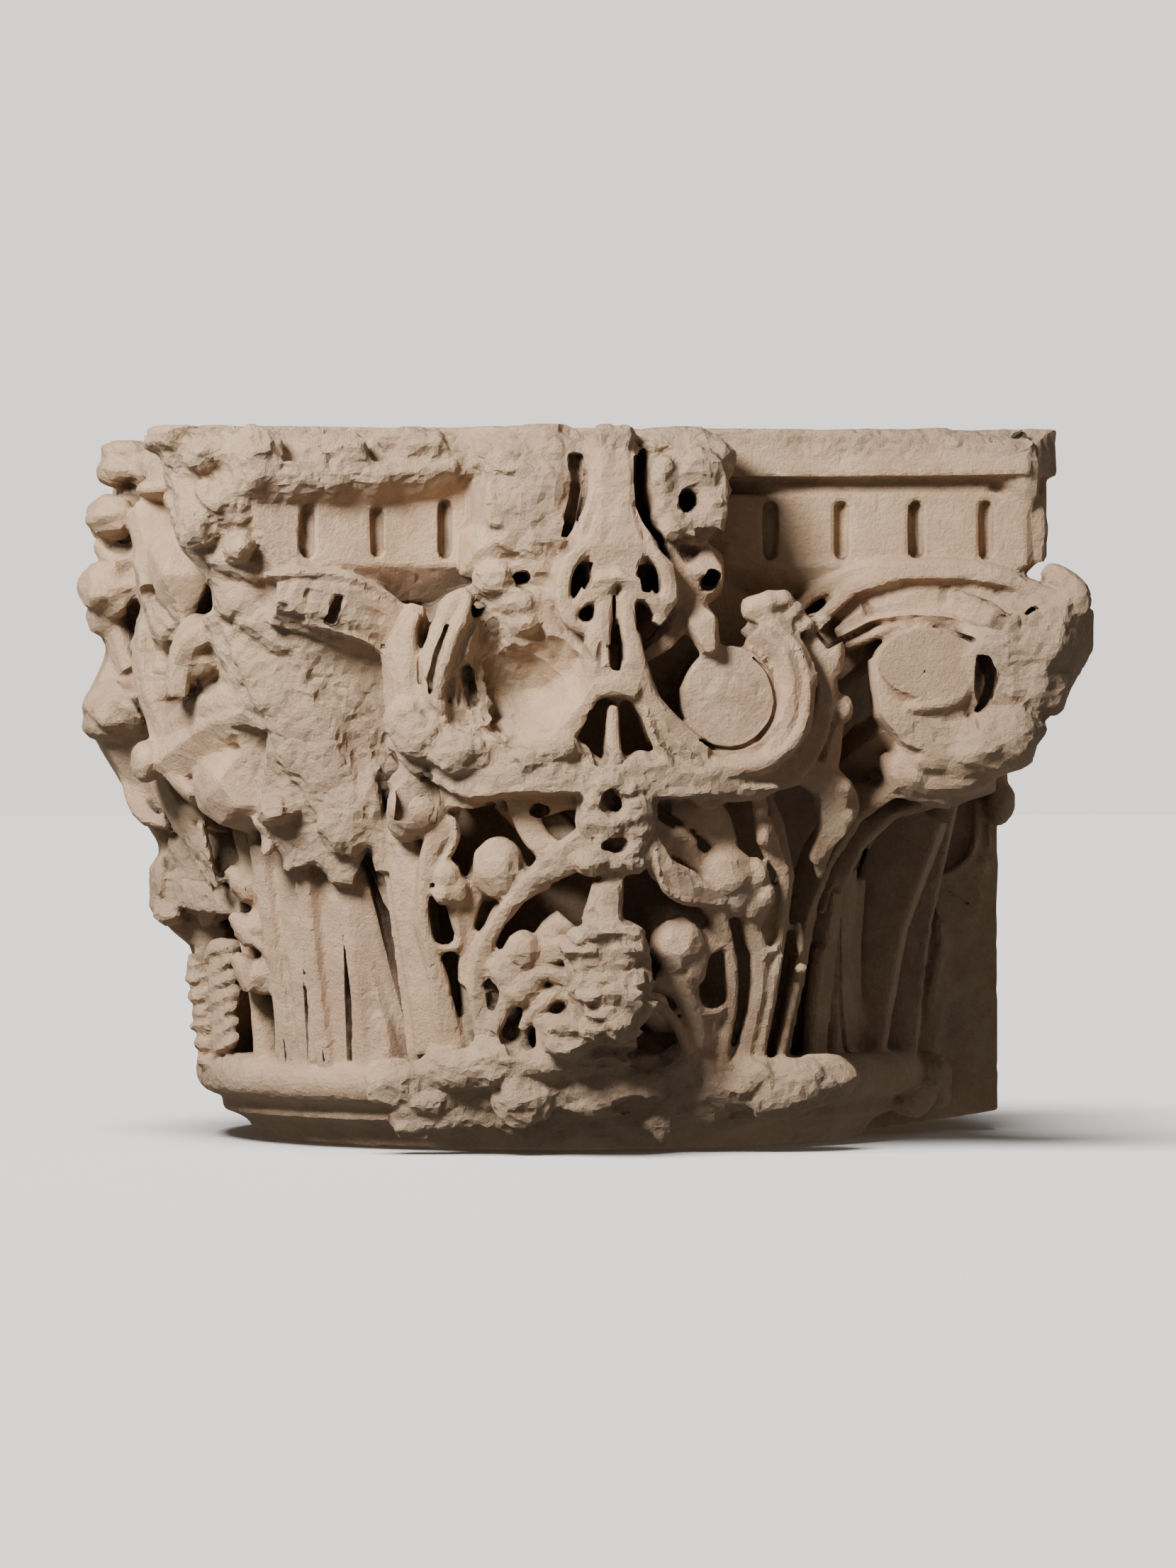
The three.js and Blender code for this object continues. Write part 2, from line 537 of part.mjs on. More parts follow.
/** What a plane across the diagonal, leaning out upwards, takes off the left front corner. */
function cornerCut() {
  const { reach, height, lean, wide, deep, tall } = CORNER;
  const geometry = new THREE.BoxGeometry(wide, deep, tall);
  geometry.translate(0, -deep / 2, 0);
  geometry.rotateX(Math.atan(lean));
  geometry.translate(0, -reach, height);
  geometry.rotateZ(-Math.PI / 4);
  return solid(geometry);
}

/** Broken edges of the plain body: the slab over the front, and its two front horns. */
function breaks() {
  return [
    band([
      [-440, 672, 470], [-330, 668, 420], [-230, 676, 392], [-140, 684, 392], [-96, 690, 392],
    ], [24, 40, 44, 40, 22], [70, 64, 66, 60, 40],
      { sides: 6, rough: 0.22 }),
    band([
      [80, 676, 400], [180, 678, 396], [300, 682, 420], [430, 682, 440],
    ], [16, 26, 28, 30], [40, 44, 44, 60], { sides: 6, rough: 0.22 }),
    lump([424, 640, 424], [30, 40, 30], { detail: 0, seed: 71 }),
    cornerCut(),
  ];
}

/** The capital: the plain body with its breaks, then the carving, its drilled holes and the flat faces. */
function capital() {
  const body = joined([bell(), abacus(), wallBlock()]).subtract(joined(breaks()));
  const carving = joined([
    ...fleuron(), ...hangingKnot(), ...rightScroll(), ...leftScroll(), ...leafEdge(), ...leftStraps(),
    ...rightStraps(), ...brokenFoot(), ...cornerStalks(), ...rightVolute(), ...leftStump(), ...leftSide(),
    ...plainHalfSide(), ...plainHalfSide().map(halfRound),
  ]);
  const stone = body.add(carving).subtract(joined(drillings()));
  const far = 2 * HEIGHT;
  return stone.intersect(box([-far, -far, 0], [far, BACK, HEIGHT]));
}

/** Makes the named mesh of a solid. */
function mesh(name, body, material) {
  const { vertProperties, triVerts } = body.getMesh();
  const geometry = new THREE.BufferGeometry();
  geometry.setAttribute("position", new THREE.BufferAttribute(vertProperties, 3));
  geometry.setIndex(new THREE.BufferAttribute(triVerts, 1));
  geometry.computeVertexNormals();
  const made = new THREE.Mesh(geometry, material);
  made.name = name;
  return made;
}

const part = new THREE.Group();
part.add(mesh("capital", capital(), STONE));

export default part;
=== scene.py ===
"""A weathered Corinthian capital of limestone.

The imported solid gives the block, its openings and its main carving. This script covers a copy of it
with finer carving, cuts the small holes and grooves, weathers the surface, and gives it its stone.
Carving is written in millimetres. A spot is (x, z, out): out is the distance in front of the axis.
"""
import logging
import math
from collections.abc import Iterator
from dataclasses import dataclass, field, fields
from enum import Enum

import bmesh
import bpy
import numpy as np
from mathutils import Matrix, Vector, noise
from mathutils.bvhtree import BVHTree

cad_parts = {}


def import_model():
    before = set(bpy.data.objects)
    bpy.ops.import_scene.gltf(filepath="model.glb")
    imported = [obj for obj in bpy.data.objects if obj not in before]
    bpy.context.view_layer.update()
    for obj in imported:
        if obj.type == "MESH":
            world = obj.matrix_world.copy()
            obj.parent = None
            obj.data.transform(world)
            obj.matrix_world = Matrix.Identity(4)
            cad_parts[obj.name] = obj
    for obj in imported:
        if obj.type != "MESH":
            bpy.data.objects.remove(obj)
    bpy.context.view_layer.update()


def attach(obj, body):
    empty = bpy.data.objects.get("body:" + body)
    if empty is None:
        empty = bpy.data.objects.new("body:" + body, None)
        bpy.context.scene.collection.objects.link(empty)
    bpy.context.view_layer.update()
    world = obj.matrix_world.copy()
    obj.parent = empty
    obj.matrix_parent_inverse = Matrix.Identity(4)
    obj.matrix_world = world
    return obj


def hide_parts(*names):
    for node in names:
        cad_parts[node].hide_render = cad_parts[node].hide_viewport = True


LOG = logging.getLogger("capital")

MM = 0.001  # millimetres to metres
WELD = 1e-6  # metres: points closer than this are one

Spot = tuple[float, float, float]
Colour = tuple[float, float, float]
Route = list[Spot]


class Section(Enum):
    """The shape of a band across its length."""

    ROUND = "a half-round back"
    RIDGE = "two slopes that meet in a crest"
    FLAT = "a flat front with soft shoulders"
    HOLLOW = "a front that is hollowed like a gutter"


BROKEN_SLOPE = Vector((0, -0.8, 0.6))  # the way that the broken edge of the slab looks


def point_at(spot: Spot) -> Vector:
    """The place of a spot, in metres."""
    x, z, out = spot
    return Vector((x, -out, z)) * MM


def value_along(values: float | list[float], along: float) -> float:
    """Reads a number, or a list spread evenly over 0 to 1.

    Args:
        values: one number for the whole length, or a list of them.
        along: the place along the length, from 0 to 1.

    Returns:
        The value there.
    """
    if isinstance(values, (int, float)):
        return float(values)
    return float(np.interp(along * (len(values) - 1), range(len(values)), values))


@dataclass
class Path:
    """A smooth way through spots, after Catmull and Rom, with centripetal spacing."""

    route: Route

    NEAR = 0.01  # the part of the way over which its direction is measured

    def __post_init__(self) -> None:
        """Places the spots and adds a mirrored one beyond each end."""
        places = [point_at(spot) for spot in self.route]
        before = 2 * places[0] - places[1]
        after = 2 * places[-1] - places[-2]
        self.places = [before, *places, after]

    @property
    def length(self) -> float:
        """The length of the straight runs between the spots, in metres."""
        inner = self.places[1:-1]
        return sum((b - a).length for a, b in zip(inner, inner[1:]))

    def at(self, along: float) -> Vector:
        """The place at a part of the way, from 0 to 1.

        Args:
            along: the part of the way, spread evenly over the spots.

        Returns:
            The place in metres.
        """
        spans = len(self.places) - 3
        span = min(int(along * spans), spans - 1)
        share = along * spans - span
        p0, p1, p2, p3 = self.places[span : span + 4]
        t0 = 0.0
        t1 = t0 + max((p1 - p0).length, WELD) ** 0.5
        t2 = t1 + max((p2 - p1).length, WELD) ** 0.5
        t3 = t2 + max((p3 - p2).length, WELD) ** 0.5
        t = t1 + share * (t2 - t1)
        a1 = p0.lerp(p1, (t - t0) / (t1 - t0))
        a2 = p1.lerp(p2, (t - t1) / (t2 - t1))
        a3 = p2.lerp(p3, (t - t2) / (t3 - t2))
        b1 = a1.lerp(a2, (t - t0) / (t2 - t0))
        b2 = a2.lerp(a3, (t - t1) / (t3 - t1))
        return b1.lerp(b2, (t - t1) / (t2 - t1))

    def heading(self, along: float) -> Vector:
        """The direction of the way at a part of it, from 0 to 1."""
        ahead = self.at(min(along + self.NEAR, 1.0))
        behind = self.at(max(along - self.NEAR, 0.0))
        return (ahead - behind).normalized()


class Clay:
    """A heap of closed shapes in one mesh, which are later joined to the stone or cut from it."""

    def __init__(self) -> None:
        """Starts with nothing."""
        self.bm = bmesh.new()
        self.scratch = bpy.data.meshes.new("scratch")

    def keep(self, shape: bmesh.types.BMesh) -> None:
        """Puts a finished shape on the heap."""
        shape.to_mesh(self.scratch)
        shape.free()
        self.bm.from_mesh(self.scratch)

    def turned(self, profile: list[tuple[float, float]], steps: int = 160) -> None:
        """Turns a profile about the column's axis.

        Args:
            profile: (radius, height) pairs in millimetres, from the axis back to the axis.
            steps: the number of steps round.
        """
        shape = bmesh.new()
        verts = [shape.verts.new(Vector((radius, 0, height)) * MM) for radius, height in profile]
        edges = [shape.edges.new(pair) for pair in zip(verts, verts[1:])]
        bmesh.ops.spin(
            shape,
            geom=verts + edges,
            axis=(0, 0, 1),
            cent=(0, 0, 0),
            angle=2 * math.pi,
            steps=steps,
            use_merge=True,
        )
        bmesh.ops.remove_doubles(shape, verts=shape.verts, dist=WELD)
        self.keep(shape)

    def to_object(self, name: str) -> bpy.types.Object:
        """Closes the heap.

        Args:
            name: the new object's name.

        Returns:
            An object that holds every shape, with its faces outwards.
        """
        bmesh.ops.recalc_face_normals(self.bm, faces=self.bm.faces)
        mesh = bpy.data.meshes.new(name)
        self.bm.to_mesh(mesh)
        self.bm.free()
        made = bpy.data.objects.new(name, mesh)
        bpy.context.scene.collection.objects.link(made)
        return made


@dataclass(frozen=True)
class Band:
    """A band whose front runs along a route.

    Attributes:
        route: the spots that the front passes.
        half: half its width, in millimetres.
        thick: its depth behind the front, in millimetres.
        section: its shape across.
        front: the direction that the front looks in, -Y if it isn't given.
        hub: a spot that the front looks away from, instead.
        radial: whether the front looks away from the column's axis, instead.
        wave: how uneven its sides are, as a share of its width.
        cut: whether it is cut from the stone.
    """

    route: Route
    half: float | list[float]
    thick: float | list[float] = 16
    section: Section = Section.ROUND
    front: Vector | None = None
    hub: Spot | None = None
    radial: bool = False
    wave: float = 0.0
    cut: bool = False

    SIDES = 12
    STEP = 7  # millimetres between two sections
    SHOULDER = 1.35  # how far a flat section is spread before it is held in
    GUTTER = 0.35  # how much of a hollow section is left in its middle
    WAVES = 55  # swellings a metre

    def _frame(self, path: Path, along: float) -> tuple[Vector, Vector, Vector]:
        """The middle of the front, the way across and the way out, at a part of the route."""
        centre = path.at(along)
        ahead = path.heading(along)
        facing = self.front or Vector((0, -1, 0))
        if self.radial:
            facing = Vector((centre.x, centre.y, 0))
        if self.hub:
            facing = centre - point_at(self.hub)
        across = ahead.cross(facing).normalized()
        return centre, across, across.cross(ahead).normalized()

    def _shaped(self, u: float, v: float) -> tuple[float, float]:
        """Moves a point of a round section to its place in this one."""
        if self.section is Section.FLAT:
            return max(-1.0, min(1.0, self.SHOULDER * u)), max(-1.0, min(1.0, self.SHOULDER * v))
        if self.section is Section.RIDGE and v > 0:
            return u, 1 - abs(u)
        if self.section is Section.HOLLOW and v > 0:
            return u, v * (self.GUTTER + (1 - self.GUTTER) * u * u)
        return u, v

    def shape(self) -> bmesh.types.BMesh:
        """Sweeps the section along the route."""
        path = Path(self.route)
        steps = max(len(self.route) - 1, int(path.length / (self.STEP * MM)))
        shape = bmesh.new()
        bmesh.ops.create_cone(shape, cap_ends=True, segments=self.SIDES, radius1=1, radius2=1, depth=1)
        rails = [edge for edge in shape.edges if abs(edge.verts[0].co.z - edge.verts[1].co.z) > 0.5]
        if steps > 1:
            bmesh.ops.subdivide_edges(shape, edges=rails, cuts=steps - 1)
        frames = {}
        for vert in shape.verts:
            key = round((vert.co.z + 0.5) * steps)
            if key not in frames:
                frames[key] = self._frame(path, key / steps)
            centre, across, outward = frames[key]
            u, v = self._shaped(vert.co.x, vert.co.y)
            swell = 1.0
            if self.wave:
                swell += self.wave * noise.noise(centre * self.WAVES + Vector((u, v, 0)) * 0.7)
            width = value_along(self.half, key / steps) * swell * MM
            depth = value_along(self.thick, key / steps) * MM
            vert.co = centre + across * (u * width) + outward * ((v - 1) * depth / 2)
        return shape


@dataclass(frozen=True)
class Lump:
    """A rounded, uneven lump.

    Attributes:
        spot: its middle.
        radii: its half sizes along x, z and out, in millimetres.
        rough: how far it swells and sinks, as a share of its size.
        grain: how many swellings there are across it.
        cut: whether it is cut from the stone.
    """

    spot: Spot
    radii: Spot
    rough: float = 0.08
    grain: float = 2.0
    cut: bool = False

    SPREAD = 40  # how fast the unevenness changes from one lump to the next, a metre

    def shape(self) -> bmesh.types.BMesh:
        """Swells a ball to its radii."""
        shape = bmesh.new()
        bmesh.ops.create_icosphere(shape, subdivisions=3, radius=1)
        middle = point_at(self.spot)
        rx, rz, rout = self.radii
        for vert in shape.verts:
            away = vert.co * (1 + self.rough * noise.noise(vert.co * self.grain + middle * self.SPREAD))
            vert.co = middle + Vector((away.x * rx, away.y * rout, away.z * rz)) * MM
        return shape


@dataclass(frozen=True)
class Drum:
    """A round boss, or a drilled hole, whose flat face looks along -Y.

    Attributes:
        spot: the middle of its face.
        rx: its half width.
        rz: its half height.
        depth: how deep it is, in millimetres.
        flare: the size of its back against its face.
        cut: whether it is cut from the stone.
    """

    spot: Spot
    rx: float
    rz: float
    depth: float
    flare: float = 1.0
    cut: bool = False

    SIDES = 40

    def shape(self) -> bmesh.types.BMesh:
        """Turns a cone to face the front and sets it in its place."""
        shape = bmesh.new()
        bmesh.ops.create_cone(
            shape, cap_ends=True, segments=self.SIDES, radius1=self.flare, radius2=1, depth=self.depth * MM
        )
        bmesh.ops.rotate(shape, verts=shape.verts, matrix=Matrix.Rotation(math.pi / 2, 3, "X"))
        bmesh.ops.scale(shape, verts=shape.verts, vec=(self.rx * MM, 1, self.rz * MM))
        x, z, out = self.spot
        bmesh.ops.translate(shape, verts=shape.verts, vec=Vector((x, self.depth / 2 - out, z)) * MM)
        return shape


Stroke = Band | Lump | Drum
Strokes = tuple[Stroke, ...]


def lump_row(
    count: int,
    first: Spot,
    step: Spot,
    radii: Spot,
    sway: tuple[float, float, float] = (0, 0, 0),
    swell: tuple[float, float] = (0, 0),
    **looks: float,
) -> Strokes:
    """A row of lumps along a break, each a little higher or lower and taller or flatter.

    Args:
        count: how many there are.
        first: the place of the first, before it sways.
        step: the way from one to the next.
        radii: the half sizes of each.
        sway: how far they rise and fall, how fast, and where that starts.
        swell: how far their height changes, and how fast.
        looks: what else each lump is given.

    Returns:
        The lumps.
    """
    row = []
    for i in range(count):
        x, z, out = (start + way * i for start, way in zip(first, step))
        z += sway[0] * math.sin(sway[1] * i + sway[2])
        rx, rz, rout = radii
        rz += swell[0] * math.sin(i * swell[1])
        row.append(Lump((round(x), round(z), round(out)), (rx, rz, rout), **looks))
    return tuple(row)


def lump_ring(middle: Spot, reach: tuple[float, float], radii: Spot, count: int = 8) -> Strokes:
    """A ring of rough lumps round a hole.

    Args:
        middle: the middle of the ring.
        reach: its half width and half height.
        radii: the half sizes of each lump.
        count: how many there are.

    Returns:
        The lumps.
    """
    ring = []
    for i in range(count):
        turn = 2 * math.pi * i / count
        x = middle[0] + reach[0] * math.cos(turn)
        z = middle[1] - reach[1] * math.sin(turn)
        ring.append(Lump((round(x), round(z), middle[2]), radii, rough=0.25, grain=3))
    return tuple(ring)


@dataclass
class Carved:
    """A part of the carving, whose fields are its strokes."""

    def strokes(self) -> Iterator[Stroke]:
        """Every stroke of the part, in order."""
        for item in fields(self):
            yield from getattr(self, item.name)

    def carve(self, clay: Clay, cuts: Clay) -> None:
        """Lays the part's strokes on.

        Args:
            clay: the heap that is joined to the stone.
            cuts: the heap that is cut from it.
        """
        for stroke in self.strokes():
            heap = cuts if stroke.cut else clay
            heap.keep(stroke.shape())


# ---------------------------------------------------------------- the carving, part by part


@dataclass
class Body:
    """The turned parts of the block: the bed's edge, the hollow over it and the ring."""

    bed: float = 293
    neck: float = 326
    ring: float = 331
    ring_tube: float = 21
    ring_height: float = 62

    def carve(self, clay: Clay, cuts: Clay) -> None:
        """Adds a finely turned neck and ring."""
        under = 0.5  # starts just inside the bed, so that the bed stays flat
        profile = [(0, under), (self.bed, under), (self.bed + 3, 8), (self.bed + 12, 17), (self.bed + 26, 24)]
        profile += [(self.neck, 27), (self.neck, 39)]
        for degrees in range(-75, 76, 15):
            angle = math.radians(degrees)
            radius = self.ring + self.ring_tube * math.cos(angle)
            profile.append((radius, self.ring_height + self.ring_tube * math.sin(angle)))
        profile += [(self.neck - 20, 84), (0, 84)]
        clay.turned(profile)


@dataclass
class RightVolute(Carved):
    """The volute under the right-hand horn: its channel, eye and broken end."""

    outer_ridge: Strokes = (
        Band([
            (176, 492, 330), (195, 511, 340), (226, 528, 356), (256, 534, 370), (287, 535, 380),
            (318, 534, 390), (349, 529, 400), (374, 520, 408),
        ], [5, 7, 8, 8, 8, 9, 9, 8], 30, Section.FLAT),
    )
    channel_floor: Strokes = (
        Band([
            (203, 468, 334), (227, 489, 346), (258, 503, 358), (289, 507, 368), (320, 507, 378),
            (352, 497, 386), (370, 483, 392),
        ], [10, 15, 17, 18, 18, 16, 10], 22, Section.HOLLOW),
        Band([
            (192, 466, 420), (215, 482, 420), (247, 499, 425), (278, 505, 430), (309, 504, 440),
            (340, 494, 446), (358, 482, 446),
        ], [9, 13, 15, 16, 16, 14, 8], [86, 74, 67, 62, 62, 60, 54], Section.FLAT, cut=True),
        Band([(238, 461, 430), (253, 474, 430), (277, 482, 436), (306, 480, 440), (331, 467, 440)],
            [2, 2.5, 3, 3, 2], [60, 60, 64, 66, 60], cut=True),
    )
    inner_ridge: Strokes = (
        Band([
            (221, 461, 342), (243, 471, 352), (264, 481, 362), (288, 486, 372), (313, 485, 380),
            (338, 477, 386), (358, 462, 392),
        ], [6, 6, 6, 6, 6, 6, 6], 26),
    )
    eye_face: Strokes = (
        Drum((287, 447, 408), 45, 32, 60, flare=0.92),
    )
    eye_neck: Strokes = (
        Band([(247, 454, 396), (250, 428, 398), (260, 402, 398), (277, 380, 398)], [8, 9, 10, 10], 50),
        Band([(284, 431, 400), (287, 405, 400), (291, 380, 400)], [26, 24, 20], 60, Section.FLAT),
        Band([(313, 415, 400), (316, 396, 402), (313, 376, 402)], [14, 14, 12], 50),
    )
    curl: Strokes = (
        Band([(269, 405, 406), (288, 408, 410), (311, 412, 410), (326, 426, 408), (333, 447, 406)],
            [5, 7, 7, 6, 4], 20),
        Lump((335, 432, 410), (5, 24, 16), rough=0.05, cut=True),
        Band([(340, 453, 420), (348, 434, 420), (344, 415, 420), (333, 402, 420)],
            [3, 5, 5, 3], 34, cut=True),
    )
    broken_end: Strokes = (
        Band([(359, 482, 414), (372, 457, 416), (366, 428, 414), (347, 399, 408), (322, 383, 404)],
            [14, 24, 24, 20, 12], 60, wave=0.3),
        Band([(363, 489, 430), (371, 456, 428), (371, 415, 420)],
            [10, 22, 14], 50, Section.FLAT, wave=0.2),
        Band([(395, 535, 400), (411, 524, 420), (423, 509, 432), (428, 490, 432)],
            [10, 12, 12, 6], 60, Section.FLAT),
        Lump((414, 483, 404), (20, 34, 26), rough=0.2),
        Lump((395, 431, 398), (28, 34, 28), rough=0.2),
        Lump((366, 386, 396), (34, 24, 28), rough=0.2),
    )
    underside: Strokes = (
        Lump((320, 366, 362), (54, 30, 44), rough=0.2),
        Lump((287, 351, 348), (28, 26, 36), rough=0.15),
        Lump((350, 373, 378), (44, 30, 50), rough=0.15, grain=3),
        Band([(272, 344, 372), (299, 342, 384), (331, 347, 392), (363, 367, 396)],
            [16, 18, 20, 16], 50),
        Band([(256, 367, 350), (265, 351, 364), (273, 334, 366)], [8, 12, 10], 50),
    )
    end_groove: Strokes = (
        Band([(352, 466, 420), (367, 482, 424), (383, 496, 428)], [3, 5, 2], 16, cut=True),
    )
    billets: Strokes = (
        Band([(237, 508, 372), (246, 491, 372)], [4, 4], 26, Section.FLAT, cut=True),
        Band([(311, 520, 396), (310, 502, 396)], [4, 4], 24, Section.FLAT, cut=True),
        Lump((285, 439, 411), (2, 3, 8), cut=True),
    )


@dataclass
class RightScroll(Carved):
    """The whole scroll at the right, with its rims and its lobed leaf."""

    disc: Strokes = (
        Drum((106, 415, 410), 43, 48, 60, flare=0.9),
        Lump((103, 421, 398), (30, 28, 14), rough=0.2),
        Band([(84, 447, 408), (106, 440, 412), (132, 431, 410)],
            [3, 5, 2], 12, Section.RIDGE, wave=0.3),
        Band([
            (125, 453, 428), (140, 439, 428), (148, 419, 428), (146, 398, 428), (134, 380, 428),
            (115, 370, 428), (93, 370, 428), (75, 378, 428),
        ], [1.5, 2.5, 3, 3, 3, 3, 2.5, 1.5], 24, cut=True),
    )
    rims: Strokes = (
        Band([
            (135, 479, 412), (154, 464, 416), (163, 440, 418), (164, 414, 420), (158, 389, 420),
            (140, 368, 420),
        ], [4, 5, 4, 5, 6, 5], 30),
        Band([
            (144, 482, 416), (164, 466, 420), (175, 440, 420), (176, 414, 422), (171, 387, 422),
            (153, 365, 424), (123, 352, 426), (91, 352, 428), (61, 366, 430), (42, 395, 432),
            (29, 430, 434),
        ], [4, 5, 6, 6, 7, 9, 11, 10, 9, 7, 5], 34),
    )
    leaf_band: Strokes = (
        Band([
            (144, 487, 398), (165, 483, 402), (184, 466, 404), (194, 440, 404), (197, 415, 402),
            (191, 386, 402), (175, 357, 404), (142, 336, 410), (106, 329, 414), (76, 338, 416),
        ], [10, 16, 14, 10, 9, 10, 11, 10, 9, 6], 26, Section.HOLLOW),
        Lump((142, 501, 404), (12, 12, 14), rough=0.15),
        Lump((155, 504, 404), (10, 10, 12), rough=0.15),
        Lump((167, 494, 402), (10, 10, 12), rough=0.15),
        Lump((178, 482, 400), (8, 9, 12), rough=0.15),
        Band([(187, 489, 390), (199, 470, 392), (202, 441, 390), (205, 415, 388)],
            [8, 12, 10, 8], 40, Section.RIDGE),
        Lump((193, 483, 392), (11, 14, 16), rough=0.2),
        Lump((207, 454, 384), (9, 20, 16), rough=0.2),
        Lump((216, 405, 376), (9, 14, 16), rough=0.15),
        Band([(219, 407, 378), (207, 386, 380), (199, 357, 378), (190, 334, 376)],
            [5, 12, 16, 14], 30, Section.RIDGE),
        Band([
            (189, 344, 380), (210, 334, 372), (221, 315, 366), (208, 296, 360), (200, 266, 352),
            (200, 247, 346),
        ], [14, 16, 14, 12, 8, 3], 20, Section.HOLLOW),
        Lump((218, 334, 368), (8, 10, 12), rough=0.2),
        Lump((222, 308, 362), (7, 9, 10), rough=0.2),
    )


@dataclass
class Fleuron(Carved):
    """The flower at the middle of the abacus: a tongue between two bosses."""

    tongue: Strokes = (
        Band([
            (-1, 644, 420), (-1, 621, 424), (-2, 596, 430), (-2, 570, 436), (-2, 548, 438),
            (-2, 532, 434),
        ], [24, 21, 20, 27, 34, 22], 40, Section.FLAT),
        Band([(-20, 634, 428), (-20, 602, 432), (-27, 576, 436), (-35, 554, 434)], [5, 5, 6, 5], 20),
        Band([(17, 634, 428), (19, 596, 432), (27, 567, 436), (37, 548, 434)], [3, 3, 4, 4], 20),
    )
    slots: Strokes = (
        Band([(-35, 635, 440), (-34, 608, 440), (-39, 579, 444), (-47, 555, 440)],
            [7, 6, 6, 3], 42, Section.FLAT, cut=True),
        Band([(23, 633, 440), (22, 602, 440), (27, 576, 444), (43, 554, 440), (55, 532, 430)],
            [7, 6, 5, 4, 2], 40, Section.FLAT, cut=True),
    )
    left_boss: Strokes = (
        Lump((-71, 594, 396), (44, 52, 30), rough=0.12, grain=4),
        Lump((-59, 632, 392), (46, 36, 26), rough=0.15, grain=4),
        Lump((-91, 625, 400), (30, 26, 26), rough=0.3),
        Lump((-97, 589, 398), (22, 40, 24), rough=0.3),
        Lump((-70, 555, 404), (26, 20, 22), rough=0.3),
        Lump((-82, 574, 392), (30, 34, 28), rough=0.15, grain=4),
        Lump((-51, 571, 400), (20, 28, 24), rough=0.15, grain=4),
    )
    right_boss: Strokes = (
        Band([(38, 635, 412), (37, 603, 422), (47, 574, 426), (66, 555, 420)], [8, 10, 9, 7], 50),
        Lump((73, 630, 392), (42, 30, 26), rough=0.15, grain=4),
        Lump((94, 604, 404), (13, 18, 20), rough=0.3, grain=3),
        Lump((59, 610, 412), (18, 20, 22), rough=0.25, grain=3),
        Lump((71, 568, 408), (18, 16, 22), rough=0.25, grain=3),
        Lump((48, 584, 408), (16, 24, 26), rough=0.2, grain=3),
        Lump((75, 620, 428), (20, 16, 14), rough=0.35),
        Lump((89, 582, 424), (14, 20, 18), rough=0.35),
        Lump((52, 569, 426), (14, 14, 14), rough=0.3),
        Lump((45, 616, 426), (12, 20, 16), rough=0.3),
        Drum((65, 591, 450), 9, 11, 80, cut=True),
        Lump((67, 592, 440), (13, 16, 12), rough=0.4, grain=4, cut=True),
        Lump((85, 558, 426), (16, 16, 14), rough=0.1, cut=True),
    )
    stem_and_tips: Strokes = (
        Band([(73, 553, 394), (85, 533, 400), (83, 511, 402), (77, 495, 404)], [14, 15, 12, 7], 40),
        Lump((89, 524, 406), (9, 9, 36), rough=0.2, cut=True),
        Band([(77, 501, 410), (67, 484, 414), (57, 466, 410)], [6, 9, 2], 16, Section.RIDGE),
        Band([(78, 501, 410), (88, 483, 414), (98, 464, 410)], [6, 10, 2], 16, Section.RIDGE),
        Band([(50, 597, 396), (57, 559, 404), (65, 533, 402), (68, 501, 398)], [6, 7, 6, 4], 20),
    )
    under_left_boss: Strokes = (
        Lump((-104, 559, 388), (20, 24, 26), rough=0.15, grain=3),
        Lump((-66, 533, 394), (30, 20, 24), rough=0.2, grain=3),
        Lump((-104, 523, 392), (22, 20, 24), rough=0.25, grain=3),
        Lump((-82, 501, 394), (24, 16, 24), rough=0.25, grain=3),
        Band([(-57, 533, 400), (-64, 507, 402), (-73, 489, 400)], [8, 8, 3], 26, Section.RIDGE),
        Band([(-111, 507, 396), (-99, 488, 400), (-91, 474, 400)], [9, 8, 2], 20, Section.RIDGE),
        Lump((-83, 523, 410), (9, 6, 30), rough=0.25, cut=True),
        Lump((-96, 518, 428), (8, 5, 10), rough=0.3, cut=True),
    )


